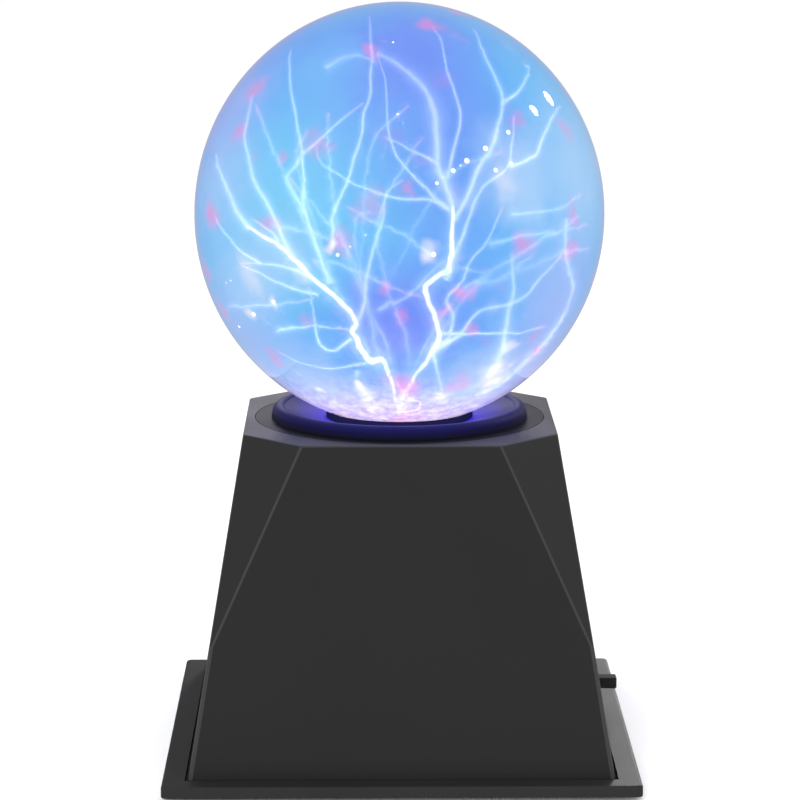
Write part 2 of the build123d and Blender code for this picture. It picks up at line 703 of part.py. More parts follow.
def make_film_capacitor():
    body = centred_block((4.0, -6.0, BOARD_TOP + 5.0), (5.0, 13.0, 10.0))
    return fillet(body.edges().filter_by(Axis.Z), 0.8)


def make_driver_chip():
    """Eight-legged timer chip."""
    x, y = 16.0, -6.0
    chip = centred_block((x, y, BOARD_TOP + 2.4), (6.4, 9.6, 3.4))
    for side in (-1, 1):
        for leg in range(4):
            leg_y = y - 3.81 + leg * 2.54
            leg_x = x + side * 3.6
            chip += centred_block((leg_x, leg_y, BOARD_TOP + 1.4), (0.8, 0.6, 2.8))
    return chip


def axial_part(x, y, length, radius):
    """Body lying along Y on two bent leads."""
    z = BOARD_TOP + radius + 0.5
    body = rod((x, y - length / 2, z), (x, y + length / 2, z), radius)
    for side in (-1, 1):
        end = y + side * length / 2
        far = end + side * 1.6
        body += rod((x, end, z), (x, far, z), 0.3)
        body += rod((x, far, BOARD_TOP), (x, far, z + 0.3), 0.3)
    return body


def make_resistors():
    return Compound(children=[axial_part(25.0 + 3.6 * i, -4.0, 6.3, 1.1) for i in range(3)])


def make_diode():
    return axial_part(24.0, 10.5, 5.0, 1.3)


def make_microphone():
    """Small microphone capsule for the sound-following mode."""
    x, y = 34.0, 10.0
    capsule = rod((x, y, BOARD_TOP), (x, y, BOARD_TOP + 6.0), 4.8)
    return capsule - rod((x, y, BOARD_TOP + 5.2), (x, y, BOARD_TOP + 7), 3.6)


POWER_HEADER = (-12.0, 16.0)
SWITCH_HEADER = (24.0, 19.5)
PIN_PITCH = 2.5


def header(x, y, ways):
    """Open-topped connector box on the board."""
    width = ways * PIN_PITCH + 2.4
    shell = centred_block((x, y, BOARD_TOP + 3.5), (width, 5.8, 7.0))
    return shell - centred_block((x, y, BOARD_TOP + 4.6), (width - 1.6, 4.2, 7.0))


def plug(x, y, ways):
    """Plug that stands in a header, with a lead entry for each way."""
    width = ways * PIN_PITCH + 2.4 - 1.8
    return centred_block((x, y, BOARD_TOP + 5.4), (width, 4.0, 7.6))


PLUG_TOP = BOARD_TOP + 9.2


# ---------------------------------------------------------------- leads

HV_RADIUS = 1.6
LEAD_RADIUS = 0.8


def power_lead(side):
    """Lead from a tag of the power socket down into its plug."""
    plug_x = POWER_HEADER[0] + side * PIN_PITCH / 2
    start_y = JACK_BACK - 5.05
    start_z = JACK_Z if side > 0 else JACK_Z - 3.1
    top = PLUG_TOP + 10.0 + side * 3.0
    return [
        (0.0, start_y, start_z),
        (0.0, start_y - 6.0, start_z),
        (side * 1.5 - 2.0, start_y - 17.0, start_z + 9.0 + side * 2.0),
        (plug_x + 2.0, POWER_HEADER[1] + 9.0, top + 3.0),
        (plug_x, POWER_HEADER[1], top),
        (plug_x, POWER_HEADER[1], PLUG_TOP + 0.02),
    ]


def switch_lead(way):
    """Lead from a switch terminal to the switch plug."""
    start = switch_point(10.42, TERMINALS[way])
    plug_x = SWITCH_HEADER[0] + (way - 1) * PIN_PITCH
    plug_y = SWITCH_HEADER[1]
    spread = (way - 1) * 2.4
    top = PLUG_TOP + 11.0 - spread
    return [
        start,
        (start[0] - 5.0, start[1], start[2]),
        (start[0] - 12.0, start[1] + 2.5, start[2] + 9.0 - spread),
        (plug_x + 9.0, plug_y - 1.5 + spread / 2, top + 4.0),
        (plug_x, plug_y, top),
        (plug_x, plug_y, PLUG_TOP + 0.02),
    ]


def hv_lead():
    """Thick insulated lead from the secondary coil up to the boot on the globe's neck."""
    coil_x = CORE_X[1] + SECONDARY_RADIUS + 0.02
    return [
        (coil_x, CORE_Y, CORE_MIDDLE),
        (coil_x + 10.0, CORE_Y, CORE_MIDDLE),
        (coil_x + 13.0, CORE_Y + 3.5, CORE_MIDDLE + 13.0),
        (coil_x + 4.0, CORE_Y + 7.0, CORE_MIDDLE + 20.0),
        (0.0, 0.0, NECK_END - 30.0),
        (0.0, 0.0, NECK_END - 4.62),
    ]


def make_leads():
    """Every insulated lead, by name, with its real length printed."""
    leads = {
        "power_lead_red": (power_lead(1), LEAD_RADIUS),
        "power_lead_black": (power_lead(-1), LEAD_RADIUS),
        "hv_lead": (hv_lead(), HV_RADIUS),
    }
    for way in range(3):
        leads[f"switch_lead_{way + 1}"] = (switch_lead(way), LEAD_RADIUS)
    made = {}
    for name, (points, radius) in leads.items():
        solid, radii, length = wire(points, radius)
        share = solid.volume / (math.pi * radius**2 * length)
        print(name, "length", round(length, 1), "radii", [round(r, 1) for r in radii], "volume share", round(share, 4))
        made[name] = solid
    return made


# ---------------------------------------------------------------- all parts


def all_parts():
    parts = {
        "globe_glass": make_globe(),
        "electrode_stem": make_stem(),
        "electrode_core": make_electrode_core(),
        "electrode_contact": make_electrode_contact(),
        "neck_boot": make_neck_boot(),
        "neck_grommet": make_neck_grommet(),
        "neck_retainer": make_neck_retainer(),
        "globe_gasket": make_globe_gasket(),
        "globe_collar": make_collar(),
        "collar_screws": make_collar_screws(),
        "body_shell": make_body_shell(),
        "bottom_plate": make_bottom_plate(),
        "plate_screws": make_plate_screws(),
        "switch_frame": make_switch_frame(),
        "switch_base": make_switch_base(),
        "switch_terminals": make_switch_terminals(),
        "switch_actuator": make_switch_actuator(),
        "switch_wiper": make_switch_wiper(),
        "switch_screws": make_switch_screws(),
        "dc_jack_housing": make_jack_housing(),
        "dc_jack_pin": make_jack_pin(),
        "dc_jack_contact": jack_contact(0),
        "dc_jack_nut": make_jack_nut(),
        "circuit_board": make_circuit_board(),
        "board_screws": make_board_screws(),
        "transformer_base": make_transformer_base(),
        "ferrite_core_lower": make_core_lower(),
        "ferrite_core_upper": make_core_upper(),
        "secondary_coil": coil(CORE_X[1], SECONDARY_RADIUS, 12.0),
        "primary_coil": coil(CORE_X[0], 6.6, 7.6),
        "core_strap": make_core_strap(),
        "heat_sink": make_heat_sink(),
        "power_transistor": make_transistor(),
        "transistor_screw": make_transistor_screw(),
        "main_capacitor": can_capacitor(6.0, 12.0, 6.5, 16.0),
        "small_capacitor": can_capacitor(16.0, 8.0, 3.0, 9.0),
        "film_capacitor": make_film_capacitor(),
        "driver_chip": make_driver_chip(),
        "resistors": make_resistors(),
        "diode": make_diode(),
        "microphone": make_microphone(),
        "power_header": header(*POWER_HEADER, 2),
        "power_plug": plug(*POWER_HEADER, 2),
        "switch_header": header(*SWITCH_HEADER, 3),
        "switch_plug": plug(*SWITCH_HEADER, 3),
    }
    for name, (x, y) in FOOT_PLACES.items():
        parts[name] = make_foot(x, y)
    parts.update(make_leads())
    return parts


def main():
    os.makedirs("parts", exist_ok=True)
    for name, shape in all_parts().items():
        export_step(shape, f"parts/{name}.step")


main()
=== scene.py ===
"""Looks of the plasma ball lamp: studio, camera, materials and glowing gas. Lengths are in metres."""

import math
import random

import bpy
from mathutils import Matrix, Vector, noise


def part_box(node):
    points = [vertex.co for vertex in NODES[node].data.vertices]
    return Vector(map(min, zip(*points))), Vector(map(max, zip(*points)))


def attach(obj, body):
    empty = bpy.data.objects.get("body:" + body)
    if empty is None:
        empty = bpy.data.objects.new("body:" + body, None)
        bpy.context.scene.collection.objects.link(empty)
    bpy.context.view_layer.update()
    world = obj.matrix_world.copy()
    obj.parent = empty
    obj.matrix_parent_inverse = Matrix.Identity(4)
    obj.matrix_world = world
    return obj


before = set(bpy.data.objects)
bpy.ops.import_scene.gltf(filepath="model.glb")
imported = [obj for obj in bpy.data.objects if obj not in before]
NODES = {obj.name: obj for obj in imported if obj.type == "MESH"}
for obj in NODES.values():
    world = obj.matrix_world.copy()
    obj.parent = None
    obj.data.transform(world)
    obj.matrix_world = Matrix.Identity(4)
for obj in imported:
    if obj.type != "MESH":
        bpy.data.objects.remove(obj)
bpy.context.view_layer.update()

MM = 0.001
GLOBE_LOW, GLOBE_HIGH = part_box("globe_glass")
GLOBE_RADIUS = (GLOBE_HIGH.x - GLOBE_LOW.x) / 2
GLOBE_TALL = 1.0316  # the globe's height over its width
CENTRE = Vector((0, 0, GLOBE_HIGH.z - GLOBE_RADIUS * GLOBE_TALL))
TILT = 0.1275  # how far down the front view looks at the globe, in radians
NEAR = Vector((0, -math.cos(TILT), math.sin(TILT)))
UP = Vector((0, math.sin(TILT), math.cos(TILT)))
HAZE_SHARE = 0.992  # how far out the glowing haze lies, as a share of the globe's radius
WALL_SHARE = 0.945  # how far out filaments reach, as a share of the globe's radius
CLOSER = 0.065  # the globe's radius over the front view's distance
WHITE = (1.0, 1.0, 1.0, 1.0)
BLACK = (0.0, 0.0, 0.0, 1.0)

# ---------------------------------------------------------------- studio

CAMERA_PLACE = Vector((-0.0133, -1.1564, 0.3485))
CAMERA_YAW, CAMERA_PITCH = 0.0117, -0.1866  # radians to the right and up
LENS_MM = 141.08
SENSOR_MM = 36.0
CAMERA_SEES = 50.0  # how far away things are still drawn
MIRRORED_TONE = (0.46, 0.455, 0.485, 1.0)  # the surroundings as mirrors see them
SURROUNDINGS = 1.06  # their brightness
FLOOR_SIDES = 12.0
FLOOR_FRONT, FLOOR_BACK = -6.0, 30.0
# The two oval lights: where they mirror in the glass, as in seen(), how far off they hang, and their turn
WINDOW_SPOTS = ((0.635, 0.456), (0.714, 0.515))
WINDOW_AWAY = 1.3
WINDOW_TURN = math.radians(-25)
GAS_LIGHT_LOW = 0.62  # how far below the globe's centre the gas's light is, as a share of the radius


def aim(thing, place, target):
    """Puts a camera or light at a place, with its -Z axis towards a target."""
    thing.location = place
    thing.rotation_euler = (Vector(target) - Vector(place)).to_track_quat("-Z", "Y").to_euler()


def make_camera():
    data = bpy.data.cameras.new("studio_camera")
    data.sensor_width = SENSOR_MM
    data.lens = LENS_MM
    data.clip_end = CAMERA_SEES
    camera = bpy.data.objects.new("studio_camera", data)
    level = math.cos(CAMERA_PITCH)
    forward = Vector((math.sin(CAMERA_YAW) * level, math.cos(CAMERA_YAW) * level, math.sin(CAMERA_PITCH)))
    aim(camera, CAMERA_PLACE, CAMERA_PLACE + forward)
    bpy.context.scene.collection.objects.link(camera)
    bpy.context.scene.camera = camera


def area_light(name, place, target, size, power, colour=(1.0, 1.0, 1.0)):
    """A light of size metres across and up, and power watts, turned to the target."""
    data = bpy.data.lights.new(name, "AREA")
    data.shape = "RECTANGLE"
    data.size, data.size_y = size
    data.energy = power
    data.color = colour
    light = bpy.data.objects.new(name, data)
    aim(light, place, target)
    bpy.context.scene.collection.objects.link(light)
    return light


def add(tree, kind, inputs=None, **settings):
    """A shader node, with its settings and its input values or links."""
    made = tree.nodes.new("ShaderNode" + kind)
    for key, value in settings.items():
        setattr(made, key, value)
    fill(tree, made, inputs or {})
    return made


def fill(tree, node, inputs):
    """Links a node's inputs to sockets, or sets them to values."""
    for key, value in inputs.items():
        if isinstance(value, bpy.types.NodeSocket):
            tree.links.new(value, node.inputs[key])
        else:
            node.inputs[key].default_value = value


def ranged(tree, value, start, end, low=0.0, high=1.0, kind="LINEAR"):
    """A value mapped from start and end to low and high, and held there beyond them."""
    inputs = {"Value": value, "From Min": start, "From Max": end, "To Min": low, "To Max": high}
    return add(tree, "MapRange", inputs, interpolation_type=kind).outputs["Result"]


def ramp(tree, factor, first, last, middle=None):
    """Colours for a factor. first, last and middle are each a position and the colour there."""
    made = add(tree, "ValToRGB", {"Fac": factor})
    stops = made.color_ramp.elements
    stops[0].position, stops[0].color = first
    stops[1].position, stops[1].color = last
    if middle:
        stops.new(middle[0]).color = middle[1]
    return made.outputs["Color"]


def mixed(tree, factor, first, second):
    """A blend of two colours, from all first at factor 0 to all second at 1."""
    # The sockets go by number, since Mix has others of the same names
    return add(tree, "Mix", {"Factor": factor, 6: first, 7: second}, data_type="RGBA").outputs[2]


def new_material(name):
    """A material, its node tree and its Principled shader."""
    material = bpy.data.materials.new(name)
    material.use_nodes = True
    tree = material.node_tree
    return material, tree, tree.nodes["Principled BSDF"]


def rgb(red, green, blue):
    """Scene-linear colour from display values of 0 to 255."""

    def linear(v):
        v /= 255.0
        return v / 12.92 if v <= 0.04045 else ((v + 0.055) / 1.055) ** 2.4

    return (linear(red), linear(green), linear(blue), 1.0)


def scaled(colour, factor):
    """The colour, brighter or darker by a factor."""
    return (colour[0] * factor, colour[1] * factor, colour[2] * factor, 1.0)


def mesh_object(name, vertices, faces):
    """A smooth shaded mesh, in the scene."""
    mesh = bpy.data.meshes.new(name)
    mesh.from_pydata([tuple(v) for v in vertices], [], faces)
    mesh.update()
    made = bpy.data.objects.new(name, mesh)
    bpy.context.scene.collection.objects.link(made)
    for face in mesh.polygons:
        face.use_smooth = True
    return made


def light_only(light, *names):
    """Makes a light reach the named CAD nodes alone."""
    lit = bpy.data.collections.new(f"lit_by_{light.name}")
    for name in names:
        lit.objects.link(NODES[name])
    light.light_linking.receiver_collection = lit


def studio_air():
    """White surroundings, dimmer in reflections, as dark cloths beside the object would make them."""
    world = bpy.data.worlds.new("studio_air")
    world.use_nodes = True
    tree = world.node_tree
    mirrored = add(tree, "LightPath").outputs["Is Glossy Ray"]
    tone = mixed(tree, mirrored, WHITE, MIRRORED_TONE)
    fill(tree, tree.nodes["Background"], {"Color": tone, "Strength": SURROUNDINGS})
    return world


def make_floor():
    front = [(-FLOOR_SIDES, FLOOR_FRONT, 0.0), (FLOOR_SIDES, FLOOR_FRONT, 0.0)]
    back = [(FLOOR_SIDES, FLOOR_BACK, 0.0), (-FLOOR_SIDES, FLOOR_BACK, 0.0)]
    floor = mesh_object("studio_floor", front + back, [(0, 1, 2, 3)])
    material, tree, skin = new_material("studio_floor_paper")
    grain = add(tree, "TexNoise", {"Scale": 40.0, "Detail": 3.0})
    tone = ranged(tree, grain.outputs["Fac"], 0.0, 1.0, 0.95, 0.97)
    fill(tree, skin, {"Base Color": tone, "Roughness": 0.9, "Specular IOR Level": 0.1})
    floor.data.materials.append(material)
    floor.visible_glossy = False


def make_gas_light():
    """Blue light low in the globe, which falls on the collar and the case."""
    data = bpy.data.lights.new("gas_light", "POINT")
    data.color = (0.03, 0.05, 1.0)
    data.energy = 0.12
    data.shadow_soft_size = 0.02
    light = bpy.data.objects.new("gas_light", data)
    light.location = CENTRE - Vector((0, 0, GLOBE_RADIUS * GAS_LIGHT_LOW))
    light.visible_transmission = False
    light.visible_glossy = False
    bpy.context.scene.collection.objects.link(light)


def make_studio():
    scene = bpy.context.scene
    scene.view_settings.view_transform = "Standard"
    scene.cycles.transparent_max_bounces = 96  # enough to see through all the filaments' layers
    scene.world = studio_air()
    make_floor()
    key = area_light("key_softbox", place=(-0.35, -1.9, 0.75), target=(0, 0, 0.08),
                     size=(0.8, 0.8), power=24.0)
    top = area_light("top_softbox", place=(0.0, 0.3, 1.5), target=(0, 0, 0.1),
                     size=(0.8, 0.8), power=5.0, colour=(0.9, 0.88, 1.0))
    rear = area_light("rear_softbox", place=(0.42, 1.5, 0.42), target=(0.08, 0, 0.01),
                      size=(0.3, 0.3), power=9.5)
    crest = area_light("crest_softbox", place=(-0.1, 1.5, 0.6), target=(0, 0, 0.12),
                       size=(0.5, 0.3), power=2.0, colour=(0.93, 0.87, 1.0))
    for light in (key, top, rear, crest):
        light.visible_transmission = False
    for light in (key, top):
        light.visible_glossy = False
    light_only(rear, "bottom_plate")
    light_only(crest, "body_shell", "globe_collar")
    make_gas_light()
    highlights()


def seen(u, v, depth, reach=WALL_SHARE):
    """A point in the globe, for a viewer in front of the lamp and slightly above it.

    u and v are to the right and up, as shares of the globe's radius. depth 1 is on the near wall, -1 on the
    far wall and 0 midway. reach is how far out these walls are, as a share of the radius."""
    span = math.sqrt(u * u + v * v)
    if span > reach:
        u, v = u * reach / span, v * reach / span
    w = depth * math.sqrt(max(reach * reach - u * u - v * v, 0.0))
    closer = 1.0 - w * CLOSER
    point = Vector((u * closer, 0, 0)) + UP * (v * closer) + NEAR * w
    return CENTRE + Vector((point.x, point.y, point.z * GLOBE_TALL)) * GLOBE_RADIUS


def highlights():
    """Two small oval lights that mirror in the glass as slim highlights, up on the right."""
    for index, (u, v) in enumerate(WINDOW_SPOTS):
        w = math.sqrt(1 - u * u - v * v)
        normal = Vector((u, 0, 0)) + UP * v + NEAR * w
        away = normal * (2 * normal.dot(NEAR)) - NEAR
        place = CENTRE + away * WINDOW_AWAY
        light = area_light(f"window_strip_{index}", place, CENTRE, size=(0.115, 0.095), power=0.6)
        light.data.shape = "ELLIPSE"
        light.rotation_euler.rotate_axis("Z", WINDOW_TURN)


# ---------------------------------------------------------------- surfaces of the solid parts

FLAT_AREA = 400 * MM * MM  # faces that lean alike and add up to more than this are a flat of the case
EDGE_LEAN = math.radians(6)  # how far a face on a rounded edge leans from every flat, at the least
# Blue light from the gas, painted on the collar and the foam as their own glow: how far from the globe's
# centre it is full, between which distances sideways it weakens, and the share of it beyond them
SPILL_NEAR = 80 * MM
SPILL_MIDDLE, SPILL_SIDE = 18 * MM, 44 * MM
SPILL_SIDE_SHARE = 0.68


def moulded(name, colour, rough, grain=900.0, relief=0.05, mottle=0.1, shine=0.4):
    """Plastic or rubber with a fine moulded texture relief mm deep, faint mottling and uneven gloss."""
    material, tree, skin = new_material(name)
    place = add(tree, "TexCoord").outputs["Object"]
    fine = add(tree, "TexNoise", {"Vector": place, "Scale": grain, "Detail": 4.0, "Roughness": 0.6})
    broad = add(tree, "TexNoise", {"Vector": place, "Scale": 24.0, "Detail": 3.0})
    both = add(tree, "Math", {0: fine.outputs["Fac"], 1: broad.outputs["Fac"]}, operation="ADD")
    mean = add(tree, "Math", {0: both.outputs[0], 1: 0.5}, operation="MULTIPLY")
    tone = ramp(tree, mean.outputs[0], (0.3, scaled(colour, 1 - mottle)), (0.7, scaled(colour, 1 + mottle)))
    gloss = ranged(tree, both.outputs[0], 0.6, 1.4, rough - 0.05, rough + 0.07)
    bump = add(tree, "Bump", {"Height": fine.outputs["Fac"], "Strength": 0.6, "Distance": relief * MM})
    fill(tree, skin, {"Base Color": tone, "Roughness": gloss, "Normal": bump.outputs["Normal"],
                      "Specular IOR Level": shine})
    return material


def metal(name, colour, rough, stretch=(1.0, 1.0, 1.0), scale=700.0, relief=0.01):
    """Metal with fine marks, drawn out along the axis whose stretch is small."""
    material, tree, skin = new_material(name)
    place = add(tree, "TexCoord").outputs["Object"]
    lines = add(tree, "Mapping", {"Vector": place, "Scale": stretch})
    marks = add(tree, "TexNoise", {"Vector": lines.outputs["Vector"], "Scale": scale, "Detail": 5.0})
    cloud = add(tree, "TexNoise", {"Vector": place, "Scale": 60.0, "Detail": 2.0})
    tone = ramp(tree, cloud.outputs["Fac"], (0.0, scaled(colour, 0.82)), (1.0, scaled(colour, 1.08)))
    gloss = ranged(tree, marks.outputs["Fac"], 0.0, 1.0, rough - 0.08, rough + 0.12)
    bump = add(tree, "Bump", {"Height": marks.outputs["Fac"], "Strength": 0.4, "Distance": relief * MM})
    fill(tree, skin, {"Base Color": tone, "Roughness": gloss, "Normal": bump.outputs["Normal"],
                      "Metallic": 1.0})
    return material


def wound(name, colour, gap_colour, pitch):
    """Wire or tape wound round an upright leg, as rings pitch mm apart."""
    material, tree, skin = new_material(name)
    place = add(tree, "TexCoord").outputs["Object"]
    height = add(tree, "SeparateXYZ", {"Vector": place}).outputs["Z"]
    phase = add(tree, "Math", {0: height, 1: math.tau / (pitch * MM)}, operation="MULTIPLY")
    ring = add(tree, "Math", {0: phase.outputs[0]}, operation="SINE")
    tone = ramp(tree, ranged(tree, ring.outputs[0], -1.0, 1.0), (0.1, gap_colour), (0.5, colour))
    bump = add(tree, "Bump", {"Height": ring.outputs[0], "Strength": 0.8, "Distance": pitch * 0.3 * MM})
    fill(tree, skin, {"Base Color": tone, "Normal": bump.outputs["Normal"], "Roughness": 0.3})
    return material


def board_surface(name):
    """Green solder mask over a lattice of tracks."""
    material, tree, skin = new_material(name)
    place = add(tree, "TexCoord").outputs["Object"]
    tracks = add(tree, "TexBrick", {"Vector": place, "Scale": 90.0, "Mortar Size": 0.06,
                                    "Brick Width": 0.9, "Color1": rgb(24, 88, 48),
                                    "Color2": rgb(20, 78, 42), "Mortar": rgb(60, 128, 70)})
    bump = add(tree, "Bump", {"Height": tracks.outputs["Fac"], "Strength": 0.4, "Distance": 0.03 * MM})
    fill(tree, skin, {"Base Color": tracks.outputs["Color"], "Normal": bump.outputs["Normal"],
                      "Roughness": 0.3})
    return material


def clear_glass(name, tint, depth_tint=None, density=0.0):
    """Blown glass with very faint ripples. depth_tint is the colour that thick glass lets through."""
    material, tree, skin = new_material(name)
    place = add(tree, "TexCoord").outputs["Object"]
    ripple = add(tree, "TexNoise", {"Vector": place, "Scale": 14.0, "Detail": 1.0})
    bump = add(tree, "Bump", {"Height": ripple.outputs["Fac"], "Strength": 0.15, "Distance": 0.2 * MM})
    fill(tree, skin, {"Normal": bump.outputs["Normal"], "Base Color": tint, "Transmission Weight": 1.0,
                      "Roughness": 0.0, "IOR": 1.46})
    if depth_tint:
        volume = add(tree, "VolumeAbsorption", {"Color": depth_tint, "Density": density})
        tree.links.new(volume.outputs["Volume"], tree.nodes["Material Output"].inputs["Volume"])
    return material


def mark_rounded_edges(name):
    """Attribute that is 1 on the rounded edges between the case's flat faces, and 0 elsewhere."""
    mesh = NODES[name].data
    areas = {}
    for face in mesh.polygons:
        key = tuple(round(v, 1) for v in face.normal)
        areas[key] = areas.get(key, 0.0) + face.area
    flats = [Vector(key).normalized() for key, area in areas.items() if area > FLAT_AREA]
    layer = mesh.attributes.new("rounded", "FLOAT_COLOR", "CORNER")
    for face in mesh.polygons:
        leaning = max(face.normal.dot(flat) for flat in flats)
        value = 1.0 if leaning < math.cos(EDGE_LEAN) else 0.0
        for corner in face.loop_indices:
            layer.data[corner].color = (value, value, value, 1.0)


def gloss_and_paint_edge_highlight(material, colour, rough):
    """Makes the marked rounded edges a little glossier, and a little paler as a painted highlight along
    them.
    """
    tree = material.node_tree
    skin = tree.nodes["Principled BSDF"]
    mark = add(tree, "Attribute", attribute_name="rounded").outputs["Fac"]
    flat_colour = skin.inputs["Base Color"].links[0].from_socket
    flat_rough = skin.inputs["Roughness"].links[0].from_socket
    gloss = add(tree, "Mix", {"Factor": mark, 2: flat_rough, 3: rough}, data_type="FLOAT")
    tone = mixed(tree, mark, flat_colour, colour)
    fill(tree, skin, {"Base Color": tone, "Roughness": gloss.outputs[0]})


def painted_light_spill(material, reach, nearest, farther):
    """Painted blue light from the gas, up to reach mm from the globe's centre and weaker towards the sides.

    nearest is its colour against the glass, and farther its colour halfway out."""
    tree = material.node_tree
    skin = tree.nodes["Principled BSDF"]
    place = add(tree, "TexCoord").outputs["Object"]
    away = add(tree, "VectorMath", {0: place, 1: CENTRE}, operation="DISTANCE")
    near = ranged(tree, away.outputs["Value"], reach * MM, SPILL_NEAR)
    across = add(tree, "SeparateXYZ", {"Vector": place}).outputs["X"]
    sideways = add(tree, "Math", {0: across}, operation="ABSOLUTE")
    fade = ranged(tree, sideways.outputs[0], SPILL_MIDDLE, SPILL_SIDE, 1.0, SPILL_SIDE_SHARE)
    faded = add(tree, "Math", {0: near, 1: fade}, operation="MULTIPLY")
    tone = ramp(tree, faded.outputs[0], (0.0, BLACK), (1.0, nearest), (0.5, farther))
    fill(tree, skin, {"Emission Color": tone, "Emission Strength": 1.0})


def paint(material, *names):
    """Gives the named CAD nodes this material alone."""
    for name in names:
        mesh = NODES[name].data
        mesh.materials.clear()
        mesh.materials.append(material)


def paint_solid_parts():
    glass = clear_glass("blown_glass", (0.97, 0.98, 1.0, 1.0), depth_tint=(0.68, 0.30, 1.0, 1.0),
                        density=60.0)
    paint(glass, "globe_glass")
    NODES["globe_glass"].visible_shadow = False
    paint(clear_glass("stem_glass", (0.9, 0.93, 0.95, 1.0)), "electrode_stem")
    case = moulded("case_black", rgb(22, 22, 21), 0.5, grain=1300.0, relief=0.06, mottle=0.14, shine=0.5)
    mark_rounded_edges("body_shell")
    # The paler edge colour is a painted highlight along the case's rounded edges; the lower roughness is
    # real gloss
    gloss_and_paint_edge_highlight(case, rgb(46, 46, 44), rough=0.42)
    paint(case, "body_shell")
    plate = moulded("plate_black", rgb(40, 40, 39), 0.55, grain=1000.0, relief=0.05, shine=0.12)
    paint(plate, "bottom_plate")
    collar = moulded("collar_black", rgb(12, 11, 13), 0.5, grain=1400.0, relief=0.02, shine=0.12)
    # Painted blue light from the gas, as the collar's own glow
    painted_light_spill(collar, 90.0, nearest=rgb(70, 56, 235), farther=rgb(16, 15, 96))
    paint(collar, "globe_collar")
    paint(moulded("knob_black", rgb(28, 28, 28), 0.35, grain=1500.0, relief=0.02), "switch_actuator")
    feet = [name for name in NODES if name.startswith("foot_")]
    paint(moulded("foot_rubber", rgb(26, 26, 26), 0.75, grain=1600.0, relief=0.05, shine=0.2), *feet)
    paint(moulded("grommet_rubber", rgb(30, 30, 31), 0.7, grain=1500.0, relief=0.04), "neck_grommet")
    foam = moulded("gasket_foam", rgb(30, 30, 36), 0.95, grain=1100.0, relief=0.3, mottle=0.3,
                   shine=0.05)
    # Painted blue light from the gas, fainter, as the foam's own glow
    painted_light_spill(foam, 90.0, nearest=rgb(10, 10, 62), farther=rgb(5, 5, 34))
    paint(foam, "globe_gasket")
    paint(moulded("boot_silicone", rgb(150, 52, 40), 0.6, grain=800.0, relief=0.03), "neck_boot")
    paint(moulded("white_nylon", rgb(222, 219, 208), 0.45, grain=900.0, relief=0.02),
          "neck_retainer", "power_header", "power_plug", "switch_header", "switch_plug")
    paint(metal("electrode_wool", rgb(120, 118, 116), 0.6, scale=1800.0, relief=0.2), "electrode_core")
    paint(metal("zinc_screws", rgb(190, 190, 184), 0.3, scale=1500.0),
          "collar_screws", "plate_screws", "board_screws", "switch_screws", "transistor_screw")
    paint(metal("sheet_steel", rgb(178, 178, 174), 0.35, stretch=(1.0, 0.08, 1.0)),
          "switch_frame", "core_strap")
    paint(metal("contact_brass", rgb(206, 170, 96), 0.25),
          "switch_wiper", "switch_terminals", "electrode_contact", "dc_jack_contact")
    paint(metal("nickel", rgb(214, 208, 196), 0.18, scale=1200.0), "dc_jack_pin", "dc_jack_nut")
    paint(metal("sink_aluminium", rgb(196, 198, 200), 0.4, stretch=(1.0, 1.0, 0.05)), "heat_sink")
    paint(metal("microphone_can", rgb(188, 188, 190), 0.35), "microphone")
    paint(moulded("phenolic_board", rgb(92, 56, 30), 0.5, grain=700.0, relief=0.03, mottle=0.2),
          "switch_base")
    paint(moulded("jack_black", rgb(26, 26, 27), 0.35, grain=1300.0, relief=0.02),
          "dc_jack_housing")
    paint(board_surface("solder_mask"), "circuit_board")
    paint(moulded("ferrite_grey", rgb(64, 64, 68), 0.7, grain=1800.0, relief=0.05, mottle=0.18),
          "ferrite_core_lower", "ferrite_core_upper")
    paint(wound("secondary_tape", rgb(190, 150, 40), rgb(150, 112, 24), 2.4), "secondary_coil")
    paint(wound("primary_wire", rgb(176, 92, 40), rgb(70, 30, 14), 0.7), "primary_coil")
    paint(moulded("component_black", rgb(30, 30, 31), 0.5, grain=1500.0, relief=0.03),
          "transformer_base", "power_transistor", "driver_chip", "diode")
    paint(moulded("capacitor_sleeve", rgb(24, 34, 84), 0.3, grain=600.0, relief=0.02),
          "main_capacitor", "small_capacitor")
    paint(moulded("film_capacitor_skin", rgb(150, 40, 26), 0.25, grain=400.0, relief=0.05),
          "film_capacitor")
    paint(moulded("resistor_body", rgb(198, 172, 128), 0.45, grain=1000.0, relief=0.02), "resistors")
    paint(moulded("red_insulation", rgb(172, 22, 22), 0.4, grain=1200.0, relief=0.02),
          "power_lead_red", "hv_lead")
    paint(moulded("black_insulation", rgb(26, 26, 26), 0.4, grain=1200.0, relief=0.02),
          "power_lead_black")
    paint(moulded("grey_insulation", rgb(140, 140, 140), 0.4, grain=1200.0, relief=0.02),
          "switch_lead_1", "switch_lead_2", "switch_lead_3")


# ---------------------------------------------------------------- glowing gas

SKY = rgb(92, 186, 250)
CYAN = rgb(126, 222, 252)
PERIWINKLE = rgb(112, 138, 250)
LAVENDER = rgb(190, 198, 252)
VIOLET = rgb(170, 156, 252)
DEEP = rgb(66, 62, 240)
FROST = rgb(255, 240, 255)
LILAC = rgb(206, 186, 250)
PINK = rgb(252, 138, 208)
PALE = rgb(196, 228, 255)
ICE = rgb(230, 242, 251)
POWDER = rgb(192, 220, 252)

# Heights above the globe's centre between which the frost and the thick haze set in
FROST_FROM, FROST_FULL = -0.55 * GLOBE_RADIUS, -0.98 * GLOBE_RADIUS
THICK_FROM, THICK_FULL = -0.45 * GLOBE_RADIUS, -0.7 * GLOBE_RADIUS
